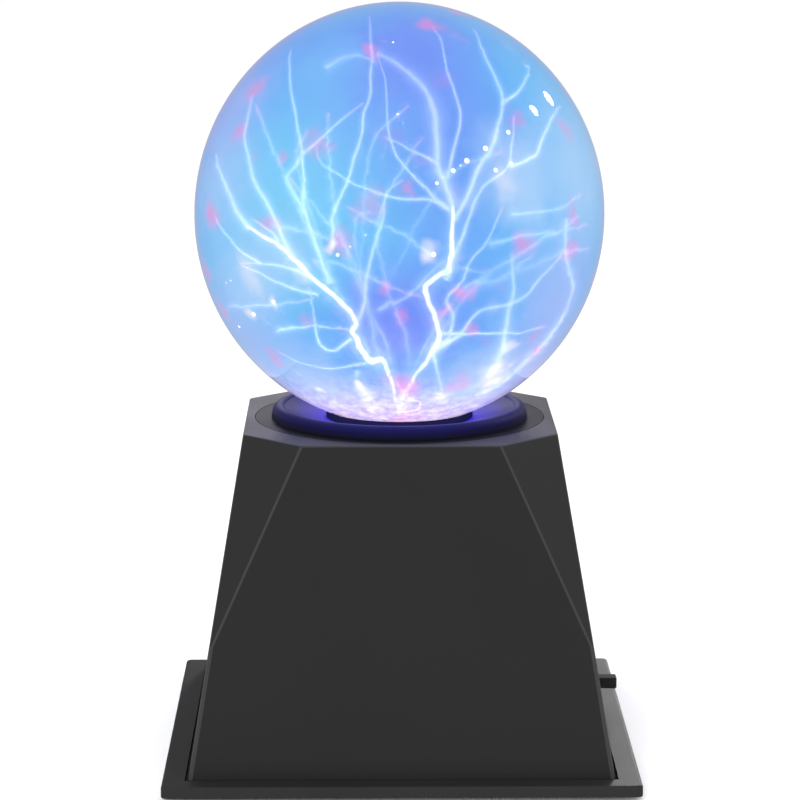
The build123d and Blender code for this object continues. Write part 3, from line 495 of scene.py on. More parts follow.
# Distances from the plane of the front view's outline between which the painted violet rim glow sets in
VIOLET_FROM, VIOLET_FULL = 0.36 * GLOBE_RADIUS, 0.04 * GLOBE_RADIUS
FROST_SHARE, VIOLET_SHARE = 0.95, 0.3  # how much of the colour they make up, at the most
THIN_HAZE, THICK_HAZE = 0.78, 0.93  # opacity
FROST_BOOST = 1.5  # how much brighter the frosted bottom glows than the rest of the gas
THICK_BOOST = 2.2  # how much harder a filament shines low down, where it is seen through thicker haze
PINK_SHARE = 0.8  # how much of a pink spot's or tip's strength is used
PATCH_BEND = 16 * MM  # how far the soft patches are bent out of round, at the most

# Soft colour zones on the near side's gas: u, v, radius as a share of the globe's, colour, strength
ZONES = [
    (-0.50, 0.10, 0.75, CYAN, 0.75),
    (-0.30, 0.70, 0.35, CYAN, 0.5),
    (0.05, 0.80, 0.55, PERIWINKLE, 0.85),
    (-0.05, -0.50, 0.42, PERIWINKLE, 0.95),
    (0.40, 0.40, 0.40, PERIWINKLE, 0.3),
    (0.82, 0.20, 0.55, PALE, 0.65),
    (0.75, -0.35, 0.50, LAVENDER, 0.55),
    (0.62, -0.68, 0.50, LAVENDER, 0.7),
    (-0.72, -0.55, 0.50, LAVENDER, 0.55),
    (-0.85, 0.15, 0.45, PALE, 0.5),
    (-0.78, 0.50, 0.40, LAVENDER, 0.45),
    (-0.60, -0.22, 0.34, PALE, 0.5),
    (0.55, 0.10, 0.27, PALE, 0.7),
    (0.35, -0.78, 0.34, PALE, 0.6),
    (-0.40, -0.76, 0.30, PALE, 0.5),
    (0.53, 0.25, 0.28, PALE, 0.65),
    (-0.74, -0.30, 0.30, PALE, 0.5),
]

# Where filaments meet the near side's glass: u, v, radius, colour, strength
SPOTS = [
    (-0.14, 0.74, 0.09, PINK, 0.9), (0.16, 0.87, 0.10, PINK, 0.9), (0.28, 0.93, 0.08, PINK, 0.8),
    (0.57, 0.81, 0.08, PINK, 0.8), (-0.03, 0.79, 0.03, PINK, 0.9), (-0.02, 0.46, 0.035, PINK, 0.9),
    (-0.70, 0.58, 0.11, PINK, 0.8), (-0.77, 0.38, 0.10, PINK, 0.7), (0.54, 0.44, 0.09, PINK, 0.8),
    (0.81, 0.55, 0.07, PINK, 0.8), (0.80, 0.36, 0.10, PINK, 0.6), (0.05, 0.09, 0.06, PINK, 0.7),
    (-0.41, 0.31, 0.10, PINK, 0.7), (-0.90, 0.01, 0.12, PINK, 0.9), (-0.93, -0.25, 0.10, PINK, 0.8),
    (-0.84, -0.45, 0.08, PINK, 0.9), (-0.63, -0.06, 0.08, PINK, 0.7), (-0.27, -0.16, 0.10, PINK, 0.7),
    (0.58, -0.13, 0.10, PINK, 0.8), (0.82, 0.00, 0.09, PINK, 0.8), (0.81, -0.16, 0.08, PINK, 0.7),
    (0.30, -0.37, 0.09, PINK, 0.9), (0.20, -0.47, 0.07, PINK, 0.7), (-0.09, -0.36, 0.07, PINK, 0.7),
    (-0.03, -0.48, 0.05, PINK, 0.8), (-0.41, -0.53, 0.08, PINK, 0.7), (0.32, -0.55, 0.05, PINK, 0.8),
    (0.63, -0.55, 0.07, PINK, 0.8), (0.65, -0.62, 0.07, PINK, 0.9), (0.94, -0.29, 0.07, PINK, 0.8),
    (-0.58, -0.67, 0.10, PINK, 0.7), (0.28, -0.77, 0.10, PINK, 0.7), (0.02, -0.80, 0.14, PINK, 0.9),
    (-0.55, 0.25, 0.06, PINK, 0.8), (-0.14, 0.02, 0.12, PINK, 0.4),
    (0.16, -0.19, 0.07, WHITE, 0.9), (-0.62, -0.40, 0.06, WHITE, 1.0), (-0.71, -0.46, 0.07, WHITE, 1.0),
    (-0.31, -0.19, 0.04, WHITE, 0.9), (-0.39, -0.25, 0.04, WHITE, 0.9), (0.43, -0.77, 0.13, WHITE, 0.9),
    (0.20, -0.84, 0.08, WHITE, 0.8), (-0.20, -0.80, 0.08, WHITE, 0.6), (-0.14, -0.88, 0.08, WHITE, 0.6),
    (0.50, 0.14, 0.10, WHITE, 0.5), (0.02, -0.96, 0.16, PINK, 0.6), (0.04, -0.86, 0.06, WHITE, 0.7),
    (-0.47, -0.30, 0.10, WHITE, 0.5), (-0.72, -0.24, 0.12, WHITE, 0.5),
]

# Painted deep violet shade on the front view's lower outline, left and right: radius, then points as (u, v)
DUSK_RIGHT = ((0.36, -0.93), (0.47, -0.88), (0.57, -0.82), (0.66, -0.75))
DUSK = [(0.13, [(side * u, v) for side in (-1, 1) for u, v in DUSK_RIGHT])]

# White flashes along the frosted bottom, as rows of small spots: radius, then points as (u, v)
FLASHES = [
    (0.075, [(0.52, -0.62), (0.47, -0.71), (0.43, -0.78), (0.39, -0.84)]),
    (0.045, [(0.16, -0.75), (0.185, -0.81), (0.21, -0.87), (0.28, -0.89), (0.36, -0.89)]),
    (0.045, [(-0.215, -0.78), (-0.205, -0.83), (-0.15, -0.90), (-0.10, -0.94)]),
    (0.05, [(-0.49, -0.73), (-0.40, -0.81), (-0.31, -0.88)]),
]

# Nested tubes that blur each filament: share of its width, and opacity
SOFT_LAYERS = ((0.45, 0.36), (0.9, 0.22), (1.6, 0.14), (2.7, 0.08), (4.4, 0.04))

# Bright beads on the near side's glass: u, v, width in mm
BEADS = [
    (0.171, 0.142, 1.2), (0.250, 0.201, 1.6), (0.316, 0.247, 1.9), (0.407, 0.305, 1.9),
    (0.518, 0.380, 1.7), (0.456, 0.203, 1.6), (0.531, 0.235, 1.4), (0.285, 0.225, 0.6),
    (0.20, 0.17, 0.5), (-0.617, -0.411, 1.4), (-0.71, -0.468, 1.7), (-0.785, -0.53, 1.1),
    (-0.31, -0.193, 1.2), (-0.25, -0.155, 0.6), (0.155, -0.192, 1.6), (-0.175, -0.10, 0.5),
    (-0.82, -0.31, 0.5), (-0.84, -0.32, 0.5), (-0.035, 0.80, 0.8), (-0.018, 0.465, 0.8),
]
BEAD_SHARE = 0.955  # how far out they sit, as a share of the globe's radius

FAR_SPOTS = 26
FAR_ARC = (1.800913, 4.482272)  # radians from the front, round behind the globe


def far_side_spots(chance):
    """More contact spots round the sides and back, so that the globe is as lively from there."""
    spots = []
    for _ in range(FAR_SPOTS):
        angle = chance.uniform(*FAR_ARC)
        height = chance.uniform(-0.75, 0.85)
        ring = math.sqrt(1 - height * height)
        colour = WHITE if chance.random() < 0.25 else PINK
        place = Vector((math.sin(angle) * ring, -math.cos(angle) * ring, height * GLOBE_TALL))
        spots.append((place, chance.uniform(0.05, 0.11), colour, chance.uniform(0.6, 0.9)))
    return spots


def place_in_globe(tree, place):
    """Vector from the globe's centre to the shaded point, and its height."""
    offset = add(tree, "VectorMath", {0: place, 1: CENTRE}, operation="SUBTRACT").outputs["Vector"]
    return offset, add(tree, "SeparateXYZ", {"Vector": offset}).outputs["Z"]


def haze_patches(chance):
    """Every soft patch on the haze, in the order they are laid on: point, radius, colour, strength."""
    patches = []
    for u, v, radius, tint, strength in ZONES + SPOTS:
        soft = strength * PINK_SHARE if tint == PINK else strength
        patches.append((seen(u, v, 1.0, HAZE_SHARE), radius, tint, soft))
    # DUSK is painted shade on the lower outline; FLASHES are white flashes low in the gas
    for rows, tint, strength in ((DUSK, DEEP, 0.9), (FLASHES, WHITE, 0.95)):
        for radius, row in rows:
            patches += [(seen(u, v, 1.0, HAZE_SHARE), radius, tint, strength) for u, v in row]
    for direction, radius, tint, strength in far_side_spots(chance):
        patches.append((CENTRE + direction * GLOBE_RADIUS * HAZE_SHARE, radius, tint, strength))
    return patches


def glowing(tree, skin, colour, strength, alpha):
    """Makes a surface black and matt, with light of its own."""
    fill(tree, skin, {"Emission Color": colour, "Emission Strength": strength, "Alpha": alpha,
                      "Base Color": BLACK, "Roughness": 1.0, "Specular IOR Level": 0.0})


def haze_colour(tree, place, low, painted_rim):
    """Drifting blues, painted violet rim glow near the front view's outline and frosty towards the
    electrode.
    """
    cloud = add(tree, "TexNoise", {"Vector": place, "Scale": 11.0, "Detail": 1.0, "Roughness": 0.3})
    colour = ramp(tree, cloud.outputs["Fac"], (0.2, PERIWINKLE), (0.85, CYAN), (0.5, SKY))
    crystals = add(tree, "TexNoise", {"Vector": place, "Scale": 260.0, "Detail": 3.0, "Roughness": 0.7})
    frost = ramp(tree, crystals.outputs["Fac"], (0.36, LILAC), (0.62, FROST))
    return mixed(tree, low, mixed(tree, painted_rim, colour, VIOLET), frost)


def bent_place(tree, place):
    """The shaded point, pushed about by noise, so that patches measured from it aren't round."""
    bend = add(tree, "TexNoise", {"Vector": place, "Scale": 75.0, "Detail": 2.0})
    shift = add(tree, "VectorMath", {0: bend.outputs["Color"], 1: (-0.5, -0.5, -0.5)}, operation="ADD")
    push = add(tree, "VectorMath", {0: shift.outputs["Vector"], "Scale": PATCH_BEND}, operation="SCALE")
    bent = add(tree, "VectorMath", {0: place, 1: push.outputs["Vector"]}, operation="ADD")
    return bent.outputs["Vector"]


def gas_material(chance):
    """Glowing haze on the inside of the glass, with soft colour zones and contact spots."""
    material, tree, skin = new_material("gas_haze")
    place = add(tree, "TexCoord").outputs["Object"]
    offset, height = place_in_globe(tree, place)
    low = ranged(tree, height, FROST_FROM, FROST_FULL, 0.0, FROST_SHARE, "SMOOTHSTEP")
    # Painted violet rim glow, strongest where the front view sees the globe's outline
    across = add(tree, "VectorMath", {0: offset, 1: NEAR}, operation="DOT_PRODUCT").outputs["Value"]
    flat = add(tree, "Math", {0: across}, operation="ABSOLUTE").outputs[0]
    painted_rim = ranged(tree, flat, VIOLET_FROM, VIOLET_FULL, 0.0, VIOLET_SHARE, "SMOOTHSTEP")
    colour = haze_colour(tree, place, low, painted_rim)
    bent = bent_place(tree, place)
    for point, radius, tint, strength in haze_patches(chance):
        away = add(tree, "VectorMath", {0: bent, 1: point}, operation="DISTANCE")
        near = ranged(tree, away.outputs["Value"], radius * GLOBE_RADIUS, 0.0, 0.0, strength, "SMOOTHSTEP")
        colour = mixed(tree, near, colour, tint)
    level = ranged(tree, low, 0.0, 1.0, 1.0 / FROST_BOOST, 1.0)
    lit = add(tree, "VectorMath", {0: colour, "Scale": level}, operation="SCALE")
    depth = ranged(tree, height, THICK_FROM, THICK_FULL, THIN_HAZE, THICK_HAZE, "SMOOTHSTEP")
    glowing(tree, skin, lit.outputs["Vector"], FROST_BOOST, depth)
    fill(tree, skin, {"Sheen Weight": 1.0, "Sheen Roughness": 0.35, "Sheen Tint": rgb(214, 168, 255)})
    return material


def glow_material(name, strength, alpha, cold, hot):
    """Light from thin gas.

    The red of the warmth attribute takes its colour from cold to hot and makes it denser, and the green
    turns it pink. alpha is how dense the hottest gas is."""
    material, tree, skin = new_material(name)
    place = add(tree, "TexCoord").outputs["Object"]
    warmth = add(tree, "Attribute", attribute_name="warmth").outputs["Color"]
    parts = add(tree, "SeparateColor", {"Color": warmth})
    flicker = add(tree, "TexNoise", {"Vector": place, "Scale": 110.0, "Detail": 2.0})
    shaken = ranged(tree, flicker.outputs["Fac"], 0.0, 1.0, 0.8, 1.2)
    heat = add(tree, "Math", {0: parts.outputs["Red"], 1: shaken}, operation="MULTIPLY", use_clamp=True)
    tone = ramp(tree, heat.outputs[0], (0.0, cold), (1.0, hot))
    tinted = mixed(tree, parts.outputs["Green"], tone, PINK)
    thick = add(tree, "Math", {0: heat.outputs[0], 1: alpha}, operation="MULTIPLY")
    _, height = place_in_globe(tree, place)
    level = ranged(tree, height, THICK_FROM, THICK_FULL, 1.0 / THICK_BOOST, 1.0)
    lit = add(tree, "VectorMath", {0: tinted, "Scale": level}, operation="SCALE")
    glowing(tree, skin, lit.outputs["Vector"], strength * THICK_BOOST, thick.outputs[0])
    return material


def ellipsoid(name, centre, radii, rings, segments):
    """A closed ellipsoid in quads, with single poles."""
    vertices, faces = [], []
    for i in range(1, rings):
        angle = math.pi * i / rings
        for j in range(segments):
            turn = math.tau * j / segments
            vertices.append(centre + Vector((math.sin(angle) * math.cos(turn) * radii[0],
                                             math.sin(angle) * math.sin(turn) * radii[1],
                                             math.cos(angle) * radii[2])))
    top, bottom = len(vertices), len(vertices) + 1
    vertices += [centre + Vector((0, 0, radii[2])), centre - Vector((0, 0, radii[2]))]
    for i in range(rings - 2):
        for j in range(segments):
            k = (j + 1) % segments
            above, below = i * segments, (i + 1) * segments
            faces.append((above + j, below + j, below + k, above + k))
    last = (rings - 2) * segments
    for j in range(segments):
        k = (j + 1) % segments
        faces.append((top, j, k))
        faces.append((bottom, last + k, last + j))
    return mesh_object(name, vertices, faces)


# ---------------------------------------------------------------- filaments

CHANCE_SEED, NOISE_SEED = 11, 7
PATH_STEP = 1.3 * MM
KINK_FADE = 6.0  # how many points at each end of a path lead up to full kinks
BROAD_KINKS, FINE_KINKS, WAVERS = 160.0, 420.0, 300.0  # noise cells per metre
FIRST_SEED = 3.0  # places the first filament's kinks in the noise
SWELL = 0.22  # how much a filament's width wavers, either way
TUBE_SIDES, BEAD_SIDES = 8, 12
HAZE_GAP = 0.004  # how far filaments keep from the haze, as a share of the globe's radius
THINNEST = 0.2 * MM
SIDE_FILAMENTS = 6
# A bead's cross-sections: how far along it, in quarters of its width, and radius as a share of its width
BEAD_SHAPE = ((-1.0, 0.12), (-0.7, 0.38), (0.0, 0.5), (0.7, 0.38), (1.0, 0.12))


def smooth_path(points, step):
    """Catmull-Rom curve through the points, sampled about every step."""
    padded = [points[0] * 2 - points[1], *points, points[-1] * 2 - points[-2]]
    path = []
    for a, b, c, d in zip(padded, padded[1:], padded[2:], padded[3:]):
        count = max(2, int((c - b).length / step))
        for i in range(count):
            t = i / count
            path.append(0.5 * (2 * b + (c - a) * t + (2 * a - 5 * b + 4 * c - d) * t * t
                               + (3 * b - a - 3 * c + d) * t * t * t))
    path.append(points[-1])
    return path


def jagged(path, size, seed):
    """The path with small kinks of about this size, none at the ends."""
    bent = []
    for i, point in enumerate(path):
        fade = min(1.0, i / KINK_FADE, (len(path) - 1 - i) / KINK_FADE)
        shake = noise.noise_vector(point * BROAD_KINKS + Vector((seed, 2.7 * seed, 0))) * 0.7
        shake += noise.noise_vector(point * FINE_KINKS + Vector((seed, 0, 3.1 * seed))) * 0.3
        bent.append(point + shake * size * fade)
    return bent


def tube(vertices, faces, path, radii, sides):
    """Adds a closed tube round a path to a mesh's lists."""
    first = len(vertices)
    side = None
    for i, point in enumerate(path):
        along = (path[min(i + 1, len(path) - 1)] - path[max(i - 1, 0)]).normalized()
        if side is None:
            side = along.orthogonal().normalized()
        side = (side - along * side.dot(along)).normalized()
        other = along.cross(side)
        for j in range(sides):
            turn = math.tau * j / sides
            vertices.append(point + (side * math.cos(turn) + other * math.sin(turn)) * radii[i])
    for i in range(len(path) - 1):
        for j in range(sides):
            k = (j + 1) % sides
            a, b = first + i * sides, first + (i + 1) * sides
            faces.append((a + j, a + k, b + k, b + j))
    for start, order in ((first, -1), (first + (len(path) - 1) * sides, 1)):
        ring = [start + j for j in range(sides)]
        faces.append(tuple(ring[::order]))


# Filaments drawn from the root out: width at the root and at the tip in mm, points as (u, v, depth)
TRUNKS = [
    (0.7, 2.3, [(-0.005, -0.945, 0.0), (-0.03, -0.83, 0.25), (-0.06, -0.74, 0.4), (-0.09, -0.685, 0.5)]),
    (2.4, 2.2, [(-0.09, -0.685, 0.5), (-0.15, -0.69, 0.55), (-0.195, -0.63, 0.6), (-0.235, -0.55, 0.65),
                (-0.22, -0.52, 0.68), (-0.25, -0.46, 0.7), (-0.33, -0.38, 0.75)]),
    (2.2, 1.3, [(-0.33, -0.38, 0.75), (-0.42, -0.31, 0.78), (-0.52, -0.21, 0.82), (-0.59, -0.15, 0.85),
                (-0.74, -0.06, 0.9)]),
    (0.7, 1.8, [(0.0, -0.945, 0.0), (0.02, -0.86, 0.2), (0.09, -0.74, 0.4), (0.16, -0.64, 0.55)]),
    (1.9, 2.6, [(0.16, -0.64, 0.55), (0.19, -0.58, 0.6), (0.17, -0.50, 0.65), (0.13, -0.40, 0.7),
                (0.12, -0.34, 0.72), (0.16, -0.30, 0.74), (0.23, -0.27, 0.76)]),
    (2.5, 1.5, [(0.23, -0.27, 0.76), (0.245, -0.17, 0.8), (0.25, -0.05, 0.82), (0.25, 0.03, 0.85)]),
]

BRANCHES = [
    (2.4, 1.6, [(0.25, 0.03, 0.85), (0.215, 0.14, 0.85), (0.18, 0.23, 0.87), (0.17, 0.38, 0.88),
                (0.15, 0.51, 0.9), (0.09, 0.61, 0.9), (0.0, 0.69, 0.92), (-0.11, 0.75, 1.0)]),
    (1.4, 0.6, [(-0.74, -0.06, 0.9), (-0.80, 0.03, 0.93), (-0.84, 0.13, 0.95), (-0.88, 0.23, 0.97),
                (-0.89, 0.29, 1.0)]),
    # left tree
    (1.3, 0.5, [(-0.22, -0.52, 0.68), (-0.18, -0.43, 0.66), (-0.17, -0.31, 0.65), (-0.15, -0.22, 0.64),
                (-0.11, -0.11, 0.62), (-0.085, -0.02, 0.6), (-0.065, 0.10, 0.58), (0.01, 0.16, 0.6)]),
    (1.5, 0.5, [(-0.52, -0.21, 0.82), (-0.56, -0.14, 0.84), (-0.63, 0.02, 0.87), (-0.70, 0.14, 0.9),
                (-0.735, 0.27, 0.93), (-0.75, 0.38, 0.95), (-0.73, 0.48, 0.97), (-0.71, 0.56, 1.0)]),
    (1.4, 0.5, [(-0.345, -0.33, 0.74), (-0.37, -0.26, 0.72), (-0.41, -0.15, 0.7), (-0.47, 0.01, 0.68),
                (-0.52, 0.10, 0.68), (-0.55, 0.165, 0.68), (-0.51, 0.23, 0.7), (-0.47, 0.28, 0.72),
                (-0.30, 0.43, 0.8), (-0.18, 0.52, 0.85)]),
    (0.9, 0.35, [(-0.47, 0.01, 0.68), (-0.47, 0.165, 0.6), (-0.475, 0.28, 0.6), (-0.51, 0.48, 0.65),
                 (-0.535, 0.69, 0.8), (-0.54, 0.80, 1.0)]),
    (0.9, 0.4, [(-0.33, -0.16, 0.6), (-0.325, 0.0, 0.5), (-0.26, 0.15, 0.45), (-0.195, 0.35, 0.5),
                (-0.175, 0.48, 0.6), (-0.145, 0.57, 0.7), (-0.14, 0.75, 0.9), (-0.145, 0.94, 1.0)]),
    (1.0, 0.4, [(-0.43, -0.30, 0.79), (-0.56, -0.25, 0.8), (-0.68, -0.23, 0.85), (-0.78, -0.23, 0.95)]),
    (0.8, 0.4, [(-0.40, -0.38, 0.75), (-0.55, -0.34, 0.8), (-0.70, -0.27, 0.9), (-0.77, -0.24, 0.95)]),
    (0.6, 0.35, [(-0.68, -0.23, 0.85), (-0.77, -0.17, 0.9), (-0.86, -0.07, 0.95), (-0.90, 0.0, 1.0)]),
    (0.8, 0.4, [(-0.24, -0.59, 0.64), (-0.33, -0.645, 0.6), (-0.385, -0.62, 0.55), (-0.41, -0.55, 0.5),
                (-0.44, -0.34, 0.4)]),
    (0.5, 0.25, [(-0.16, -0.70, 0.6), (-0.33, -0.725, 0.75), (-0.48, -0.70, 0.85), (-0.59, -0.645, 1.0)]),
    (1.2, 0.8, [(-0.21, -0.735, 0.75), (-0.205, -0.80, 0.9), (-0.11, -0.90, 1.0)]),
    (0.7, 0.3, [(-0.59, -0.15, 0.85), (-0.62, -0.09, 0.9), (-0.72, -0.02, 1.0)]),
    # right tree
    (1.4, 0.5, [(0.255, -0.03, 0.82), (0.31, 0.06, 0.82), (0.365, 0.19, 0.83), (0.435, 0.31, 0.85),
                (0.475, 0.42, 0.88), (0.495, 0.55, 0.9), (0.46, 0.63, 0.92), (0.41, 0.73, 0.95),
                (0.365, 0.87, 1.0)]),
    (0.9, 0.4, [(0.495, 0.52, 0.9), (0.57, 0.575, 0.93), (0.625, 0.67, 0.97), (0.63, 0.75, 1.0)]),
    (1.2, 0.5, [(0.22, -0.31, 0.76), (0.30, -0.10, 0.8), (0.38, 0.10, 0.85), (0.45, 0.165, 0.88),
                (0.515, 0.22, 0.9), (0.54, 0.35, 0.95), (0.545, 0.455, 1.0)]),
    (1.0, 0.4, [(0.53, 0.22, 0.9), (0.65, 0.27, 0.92), (0.69, 0.36, 0.95), (0.735, 0.455, 0.97),
                (0.80, 0.52, 1.0)]),
    (1.1, 0.5, [(0.165, -0.635, 0.56), (0.235, -0.585, 0.62), (0.255, -0.485, 0.64), (0.22, -0.405, 0.66),
                (0.30, -0.31, 0.7), (0.34, -0.22, 0.74), (0.42, -0.13, 0.8), (0.49, 0.03, 0.9)]),
    (1.1, 0.5, [(0.165, -0.635, 0.56), (0.28, -0.575, 0.66), (0.38, -0.46, 0.72), (0.54, -0.42, 0.8),
                (0.61, -0.38, 0.84), (0.69, -0.29, 0.9), (0.79, -0.18, 1.0)]),
    (0.6, 0.35, [(0.205, -0.565, 0.62), (0.435, -0.565, 0.75), (0.57, -0.56, 0.85), (0.71, -0.525, 1.0)]),
    (2.6, 0.7, [(0.43, -0.76, 0.97), (0.49, -0.645, 0.9), (0.52, -0.47, 0.8), (0.545, -0.38, 0.75),
                (0.54, -0.18, 0.7)]),
    (1.6, 1.1, [(0.38, -0.87, 0.6), (0.50, -0.80, 0.5), (0.67, -0.67, 0.45), (0.76, -0.55, 0.4),
                (0.83, -0.43, 0.38), (0.845, -0.31, 0.36), (0.81, -0.18, 0.34), (0.81, -0.02, 0.32)]),
    (0.7, 0.35, [(0.18, 0.235, 0.87), (0.0, 0.32, 0.93), (-0.085, 0.36, 1.0)]),
    (0.8, 0.35, [(0.24, 0.01, 0.84), (0.16, 0.06, 0.8), (0.05, 0.07, 0.75), (-0.085, 0.085, 0.75),
                 (-0.25, 0.15, 0.8), (-0.385, 0.24, 0.9), (-0.41, 0.31, 1.0)]),
    (0.8, 0.35, [(0.22, 0.03, 0.6), (0.09, 0.15, 0.5), (-0.015, 0.27, 0.5), (-0.06, 0.42, 0.55),
                 (-0.07, 0.61, 0.65), (-0.11, 0.74, 0.9)]),
    (0.8, 0.4, [(0.22, 0.165, 0.85), (0.255, 0.30, 0.8), (0.285, 0.42, 0.8), (0.28, 0.51, 0.82),
                (0.23, 0.65, 0.88), (0.20, 0.80, 0.95), (0.16, 0.87, 1.0)]),
    (1.1, 0.8, [(0.155, -0.65, 0.55), (0.19, -0.78, 0.8), (0.205, -0.86, 1.0)]),
]

# Pink squiggles at the electrode's tip
KNOTS = [
    (1.0, 0.7, [(0.0, -0.945, 0.0), (0.089, -0.928, 0.15), (0.098, -0.888, 0.2), (0.048, -0.873, 0.2),
                (0.034, -0.843, 0.25), (0.068, -0.80, 0.3)]),
    (0.8, 0.5, [(-0.01, -0.945, 0.0), (0.035, -0.915, 0.1), (-0.02, -0.89, 0.15), (0.01, -0.84, 0.2),
                (-0.02, -0.79, 0.3)]),
]

# Faint ones, towards the far side
FAINT = [
    (0.9, 0.4, [(-0.35, -0.22, -0.4), (-0.19, -0.27, -0.5), (-0.03, -0.35, -0.6), (0.11, -0.39, -0.7)]),
    (1.0, 0.4, [(0.16, -0.20, -0.2), (0.05, -0.11, -0.5), (-0.10, -0.04, -0.7), (-0.25, 0.04, -0.9)]),
    (0.9, 0.4, [(0.45, -0.14, -0.3), (0.62, -0.10, -0.5), (0.80, -0.08, -0.7), (0.93, -0.05, -0.9)]),
    (0.9, 0.4, [(0.55, 0.0, -0.2), (0.70, 0.01, -0.4), (0.82, 0.04, -0.6), (0.90, 0.10, -0.9)]),
    (0.8, 0.4, [(-0.85, -0.44, -0.6), (-0.65, -0.43, -0.7), (-0.42, -0.40, -0.8)]),
    (0.9, 0.4, [(-0.60, -0.55, -0.5), (-0.42, -0.53, -0.6), (-0.22, -0.55, -0.7)]),
    (0.9, 0.4, [(-0.10, -0.45, -0.3), (0.05, -0.38, -0.5), (0.20, -0.24, -0.7), (0.33, -0.2, -0.9)]),
    (1.2, 0.5, [(-0.36, 0.70, -0.6), (-0.22, 0.76, -0.7), (-0.10, 0.72, -0.8)]),
    (1.0, 0.4, [(-0.62, -0.05, -0.4), (-0.45, -0.08, -0.6), (-0.28, -0.14, -0.8)]),
]


def side_filaments(chance):
    """Forked filaments that rise behind the globe's sides, spread over its back half.

    The vectors are shares of the globe's radius, from its centre."""
    made = []
    for index in range(SIDE_FILAMENTS):
        angle = math.pi * (0.55 + 0.9 * (index + chance.uniform(0.2, 0.8)) / SIDE_FILAMENTS)
        high = chance.uniform(-0.3, 0.8)
        out = Vector((math.sin(angle), -math.cos(angle), 0))
        swing = Vector((-out.y, out.x, 0)) * chance.uniform(-0.3, 0.3)
        end = out * WALL_SHARE * math.sqrt(1 - high * high) + swing * 0.5 + Vector((0, 0, high))
        knots = [Vector((0, 0, -0.94)), out * 0.16 + Vector((0, 0, -0.68)),
                 out * 0.36 + swing * 0.6 + Vector((0, 0, -0.40)),
                 out * 0.60 + swing + Vector((0, 0, -0.40 + (high + 0.40) * 0.45)), end]
        fork = Matrix.Rotation(chance.choice((-0.5, 0.5)), 3, "Z") @ end
        fork += Vector((0, 0, chance.uniform(-0.2, 0.2)))
        wide = chance.uniform(1.2, 2.2)
        for line, width in ((knots, wide), ([knots[2], (knots[3] + fork) * 0.52, fork], wide * 0.6)):
            kept = [knot * min(1.0, WALL_SHARE / knot.length) for knot in line]
            points = [CENTRE + Vector((k.x, k.y, k.z * GLOBE_TALL)) * GLOBE_RADIUS for k in kept]
            made.append((width, 0.7, points))
    return made


def room_at(point):
    """The largest radius that keeps a filament off the haze at a point, but at least THINNEST."""
    away = point - CENTRE
    share = Vector((away.x, away.y, away.z / GLOBE_TALL)).length / GLOBE_RADIUS
    return max((HAZE_SHARE - HAZE_GAP - share) * GLOBE_RADIUS, THINNEST)


def build_filaments(name, paths, material, kink, widen, warm, pinks=0.0):
    """One object of tubes with kinks of kink mm, widen times as wide as the paths say.

    warm is the heat at the roots and at the tips. pinks is the share of each thin filament's length, back
    from its tip, over which it turns pink."""
    vertices, faces, heats = [], [], []
    for index, (root, tip, points) in enumerate(paths):
        path = jagged(smooth_path(points, PATH_STEP), kink * MM, FIRST_SEED + index)
        count = len(path) - 1
        radii = []
        for i in range(count + 1):
            t = i / count
            width = root + (tip - root) * t
            swell = 1.0 + SWELL * noise.noise(path[i] * WAVERS)
            radii.append(min(width * swell * widen * MM / 2, room_at(path[i])))
            heat = warm[0] + (warm[1] - warm[0]) * t
            pink = max(0.0, 1.0 - (1.0 - t) / pinks) if pinks and tip < 1.0 else 0.0
            heats.append((heat, pink * PINK_SHARE, 0.0, 1.0))
        tube(vertices, faces, path, radii, TUBE_SIDES)
    made = mesh_object(name, vertices, faces)
    layer = made.data.attributes.new("warmth", "FLOAT_COLOR", "POINT")
    for i, heat in enumerate(heats):
        for j in range(TUBE_SIDES):
            layer.data[i * TUBE_SIDES + j].color = heat
    made.data.materials.append(material)
    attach(made, "lamp_base")
    made.visible_shadow = False


def plotted(paths):
    """Filaments with their points in metres."""
    return [(root, tip, [seen(*p) for p in points]) for root, tip, points in paths]


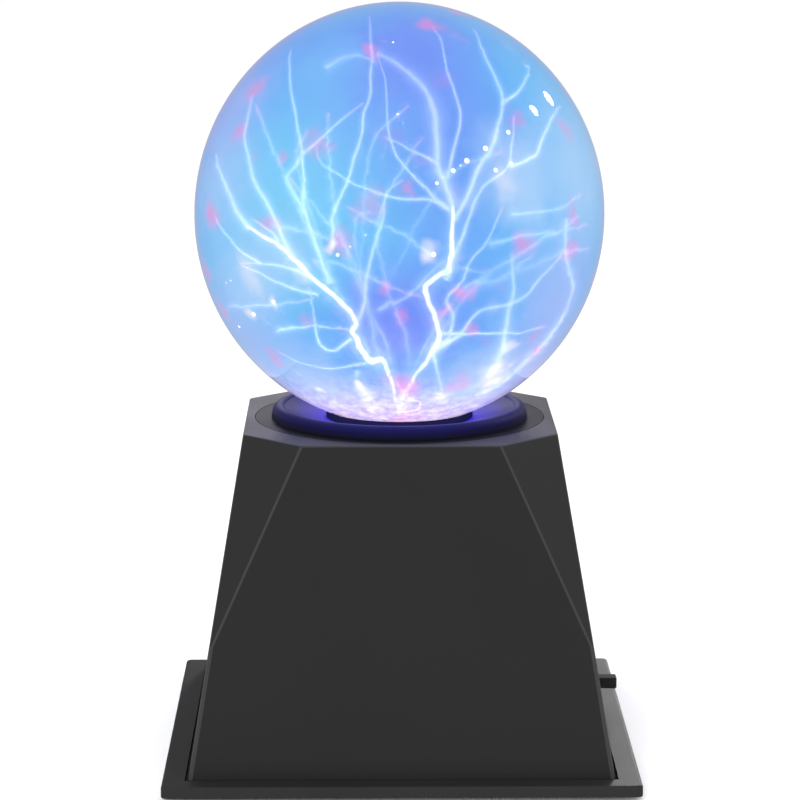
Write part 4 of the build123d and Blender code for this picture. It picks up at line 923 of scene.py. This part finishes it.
def make_bright_beads():
    """Small bright beads that glow on the inside of the glass."""
    vertices, faces = [], []
    for u, v, width in BEADS:
        point = seen(u, v, 1.0, BEAD_SHARE)
        quarter = (point - CENTRE).normalized() * width * 0.25 * MM
        path = [point + quarter * along for along, _ in BEAD_SHAPE]
        radii = [width * MM * share for _, share in BEAD_SHAPE]
        tube(vertices, faces, path, radii, BEAD_SIDES)
    made = mesh_object("bright_beads", vertices, faces)
    layer = made.data.attributes.new("warmth", "FLOAT_COLOR", "POINT")
    for item in layer.data:
        item.color = (1.0, 0.0, 0.0, 1.0)  # hottest, and not pink
    light = glow_material("bead_light", strength=7.0, alpha=1.0, cold=WHITE, hot=WHITE)
    made.data.materials.append(light)
    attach(made, "lamp_base")
    made.visible_shadow = False


def make_gas():
    chance = random.Random(CHANCE_SEED)
    noise.seed_set(NOISE_SEED)  # otherwise the clock seeds it, and the kinks differ from run to run
    width = GLOBE_RADIUS * HAZE_SHARE
    haze = ellipsoid("gas_haze", CENTRE, (width, width, width * GLOBE_TALL), rings=96, segments=160)
    haze.data.materials.append(gas_material(chance))
    haze.visible_shadow = False
    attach(haze, "lamp_base")
    trunks, branches, faint = plotted(TRUNKS), plotted(BRANCHES), plotted(FAINT)
    sides = side_filaments(chance)
    core = glow_material("plasma_core", strength=5.6, alpha=1.0, cold=ICE, hot=WHITE)
    build_filaments("plasma_trunks", trunks, core, kink=1.2, widen=0.72, warm=(1.0, 0.95))
    build_filaments("plasma_knots", plotted(KNOTS), core, kink=0.9, widen=0.8, warm=(0.9, 0.7), pinks=2.5)
    for layer, (widen, alpha) in enumerate(SOFT_LAYERS):
        glow = glow_material(f"plasma_glow_{layer}", strength=3.7, alpha=alpha, cold=POWDER, hot=ICE)
        build_filaments(f"plasma_branches_{layer}", branches, glow, kink=0.7, widen=widen,
                        warm=(1.0, 0.42), pinks=0.12)
        build_filaments(f"plasma_far_{layer}", faint, glow, kink=0.7, widen=widen * 1.6,
                        warm=(0.42, 0.3), pinks=0.3)
        build_filaments(f"plasma_sides_{layer}", sides, glow, kink=0.9, widen=widen * 1.3,
                        warm=(0.08, 0.34), pinks=0.1)
        if layer:
            build_filaments(f"trunk_glow_{layer}", trunks, glow, kink=1.2, widen=widen, warm=(0.75, 0.75))
    make_bright_beads()


# ---------------------------------------------------------------- everything

make_camera()
make_studio()
paint_solid_parts()
make_gas()
bpy.context.view_layer.update()
